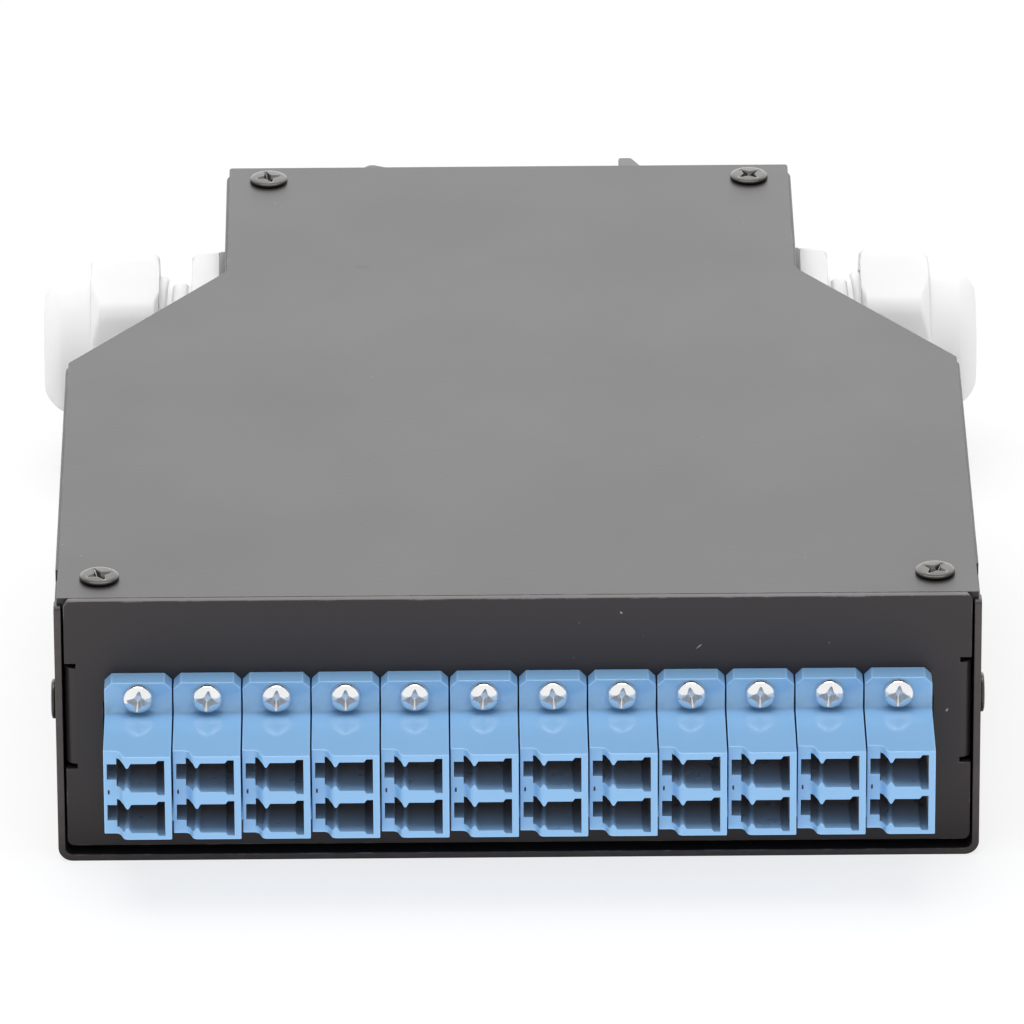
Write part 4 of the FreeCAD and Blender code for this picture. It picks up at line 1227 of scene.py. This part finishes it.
@dataclass
class Studio:
    """Camera, pale floor, white surround and soft lamps. Metres and degrees, lens in millimetres."""

    pitch: float = 25.771
    yaw: float = 0.412
    roll: float = -0.248
    distance: float = 1.81408
    target: Triple = (-0.000314, -0.0125, 0.024238)
    lens: float = 449.26
    sensor: float = 36.0
    view_end: float = 20.0
    floor_size: float = 3.0
    floor_facets: int = 64
    floor_shade: float = 0.25
    floor_glow: Pair = (1.35, 0.77)
    footprint: Pair = (0.064, 0.0725)
    # Reach in metres and the glow's remaining share of the painted contact shadow round the footprint.
    painted_contact_shadow: Pair = (0.03, 0.15)
    surround: float = 0.4

    def camera(self) -> None:
        """Set the camera at the photograph's angle."""
        pitch, yaw, roll = (math.radians(a) for a in (self.pitch, self.yaw, self.roll))
        ahead = Vector((math.sin(yaw) * math.cos(pitch), math.cos(yaw) * math.cos(pitch), -math.sin(pitch)))
        level = Vector((math.cos(yaw), -math.sin(yaw), 0.0))
        upward = level.cross(ahead)
        right = level * math.cos(roll) + upward * math.sin(roll)
        up = upward * math.cos(roll) - level * math.sin(roll)
        data = bpy.data.cameras.new("camera")
        data.sensor_width = self.sensor
        data.lens = self.lens
        data.clip_end = self.view_end
        camera = bpy.data.objects.new("camera", data)
        turn = Matrix((right, up, -ahead)).transposed().to_4x4()
        camera.matrix_world = Matrix.Translation(Vector(self.target) - ahead * self.distance) @ turn
        bpy.context.scene.collection.objects.link(camera)
        bpy.context.scene.camera = camera

    def floor(self) -> None:
        """Lay a pale floor that keeps the box's soft shadow, with a painted contact shadow in its glow near
        the box.
        """
        bm = bmesh.new()
        bmesh.ops.create_circle(bm, cap_ends=True, segments=self.floor_facets, radius=self.floor_size)
        floor = placed(bm, "floor")
        paper = bpy.data.materials.new("floor_paper")
        graph = Graph.cleared(paper)
        diffuse = graph.add("ShaderNodeBsdfDiffuse", {"Color": rgba((self.floor_shade,) * 3)})
        path = graph.add("ShaderNodeLightPath")
        strength = graph.span(graph.shown(path), 0.0, 1.0, *self.floor_glow)
        place = graph.add("ShaderNodeSeparateXYZ", {0: graph.add("ShaderNodeTexCoord").outputs["Object"]})
        across, along = (graph.math("SUBTRACT", graph.math("ABSOLUTE", place.outputs[axis]), half)
                         for axis, half in zip("XY", self.footprint))
        # Near the footprint the glow seen by all but camera rays is dimmed: a painted contact shadow.
        reach, depth = self.painted_contact_shadow
        clear_of_painted_shadow = graph.span(graph.math("MAXIMUM", across, along), 0.0, reach, depth, 1.0)
        unseen = graph.math("SUBTRACT", 1.0, path.outputs["Is Camera Ray"])
        painted_shadow = graph.math("MULTIPLY", unseen, graph.math("SUBTRACT", 1.0, clear_of_painted_shadow))
        strength = graph.math("MULTIPLY", strength, graph.math("SUBTRACT", 1.0, painted_shadow))
        glow = graph.add("ShaderNodeEmission", {"Strength": strength})
        both = graph.add("ShaderNodeAddShader", {0: diffuse.outputs[0], 1: glow.outputs[0]})
        graph.add("ShaderNodeOutputMaterial", {"Surface": both.outputs[0]})
        floor.data.materials.append(paper)

    def world(self) -> None:
        """White surround for the camera and for reflections, dimmer as a light."""
        world = bpy.data.worlds.new("surround")
        bpy.context.scene.world = world
        graph = Graph.cleared(world)
        seen = graph.shown(graph.add("ShaderNodeLightPath"))
        strength = graph.span(seen, 0.0, 1.0, self.surround, 1.0)
        back = graph.add("ShaderNodeBackground", {"Color": rgba((1.0, 1.0, 1.0)), "Strength": strength})
        graph.add("ShaderNodeOutputWorld", {"Surface": back.outputs[0]})

    def build(self) -> None:
        """Set up the camera, the floor, the surround and the lamps."""
        self.camera()
        self.floor()
        self.world()
        for lamp in LAMPS:
            lamp.hang()
        bpy.context.scene.view_settings.view_transform = "Standard"


def main() -> None:
    """Build every piece of the box, then the studio, and log each piece's face count."""
    logging.basicConfig(level=logging.INFO, format="%(message)s")
    shop = Shop(Palette())
    Enclosure().build(shop)
    AdapterRow().build(shop)
    CableGland("left", -1, Body.LEFT_SEAL, Body.LEFT_NUT).build(shop)
    CableGland("right", 1, Body.RIGHT_SEAL, Body.RIGHT_NUT).build(shop)
    RailClip().build(shop)
    SplicePack().build(shop)
    Studio().build()
    for piece in shop.pieces:
        LOG.info("%s: %d faces", piece.name, len(piece.data.polygons))


if __name__ == "__main__":
    main()
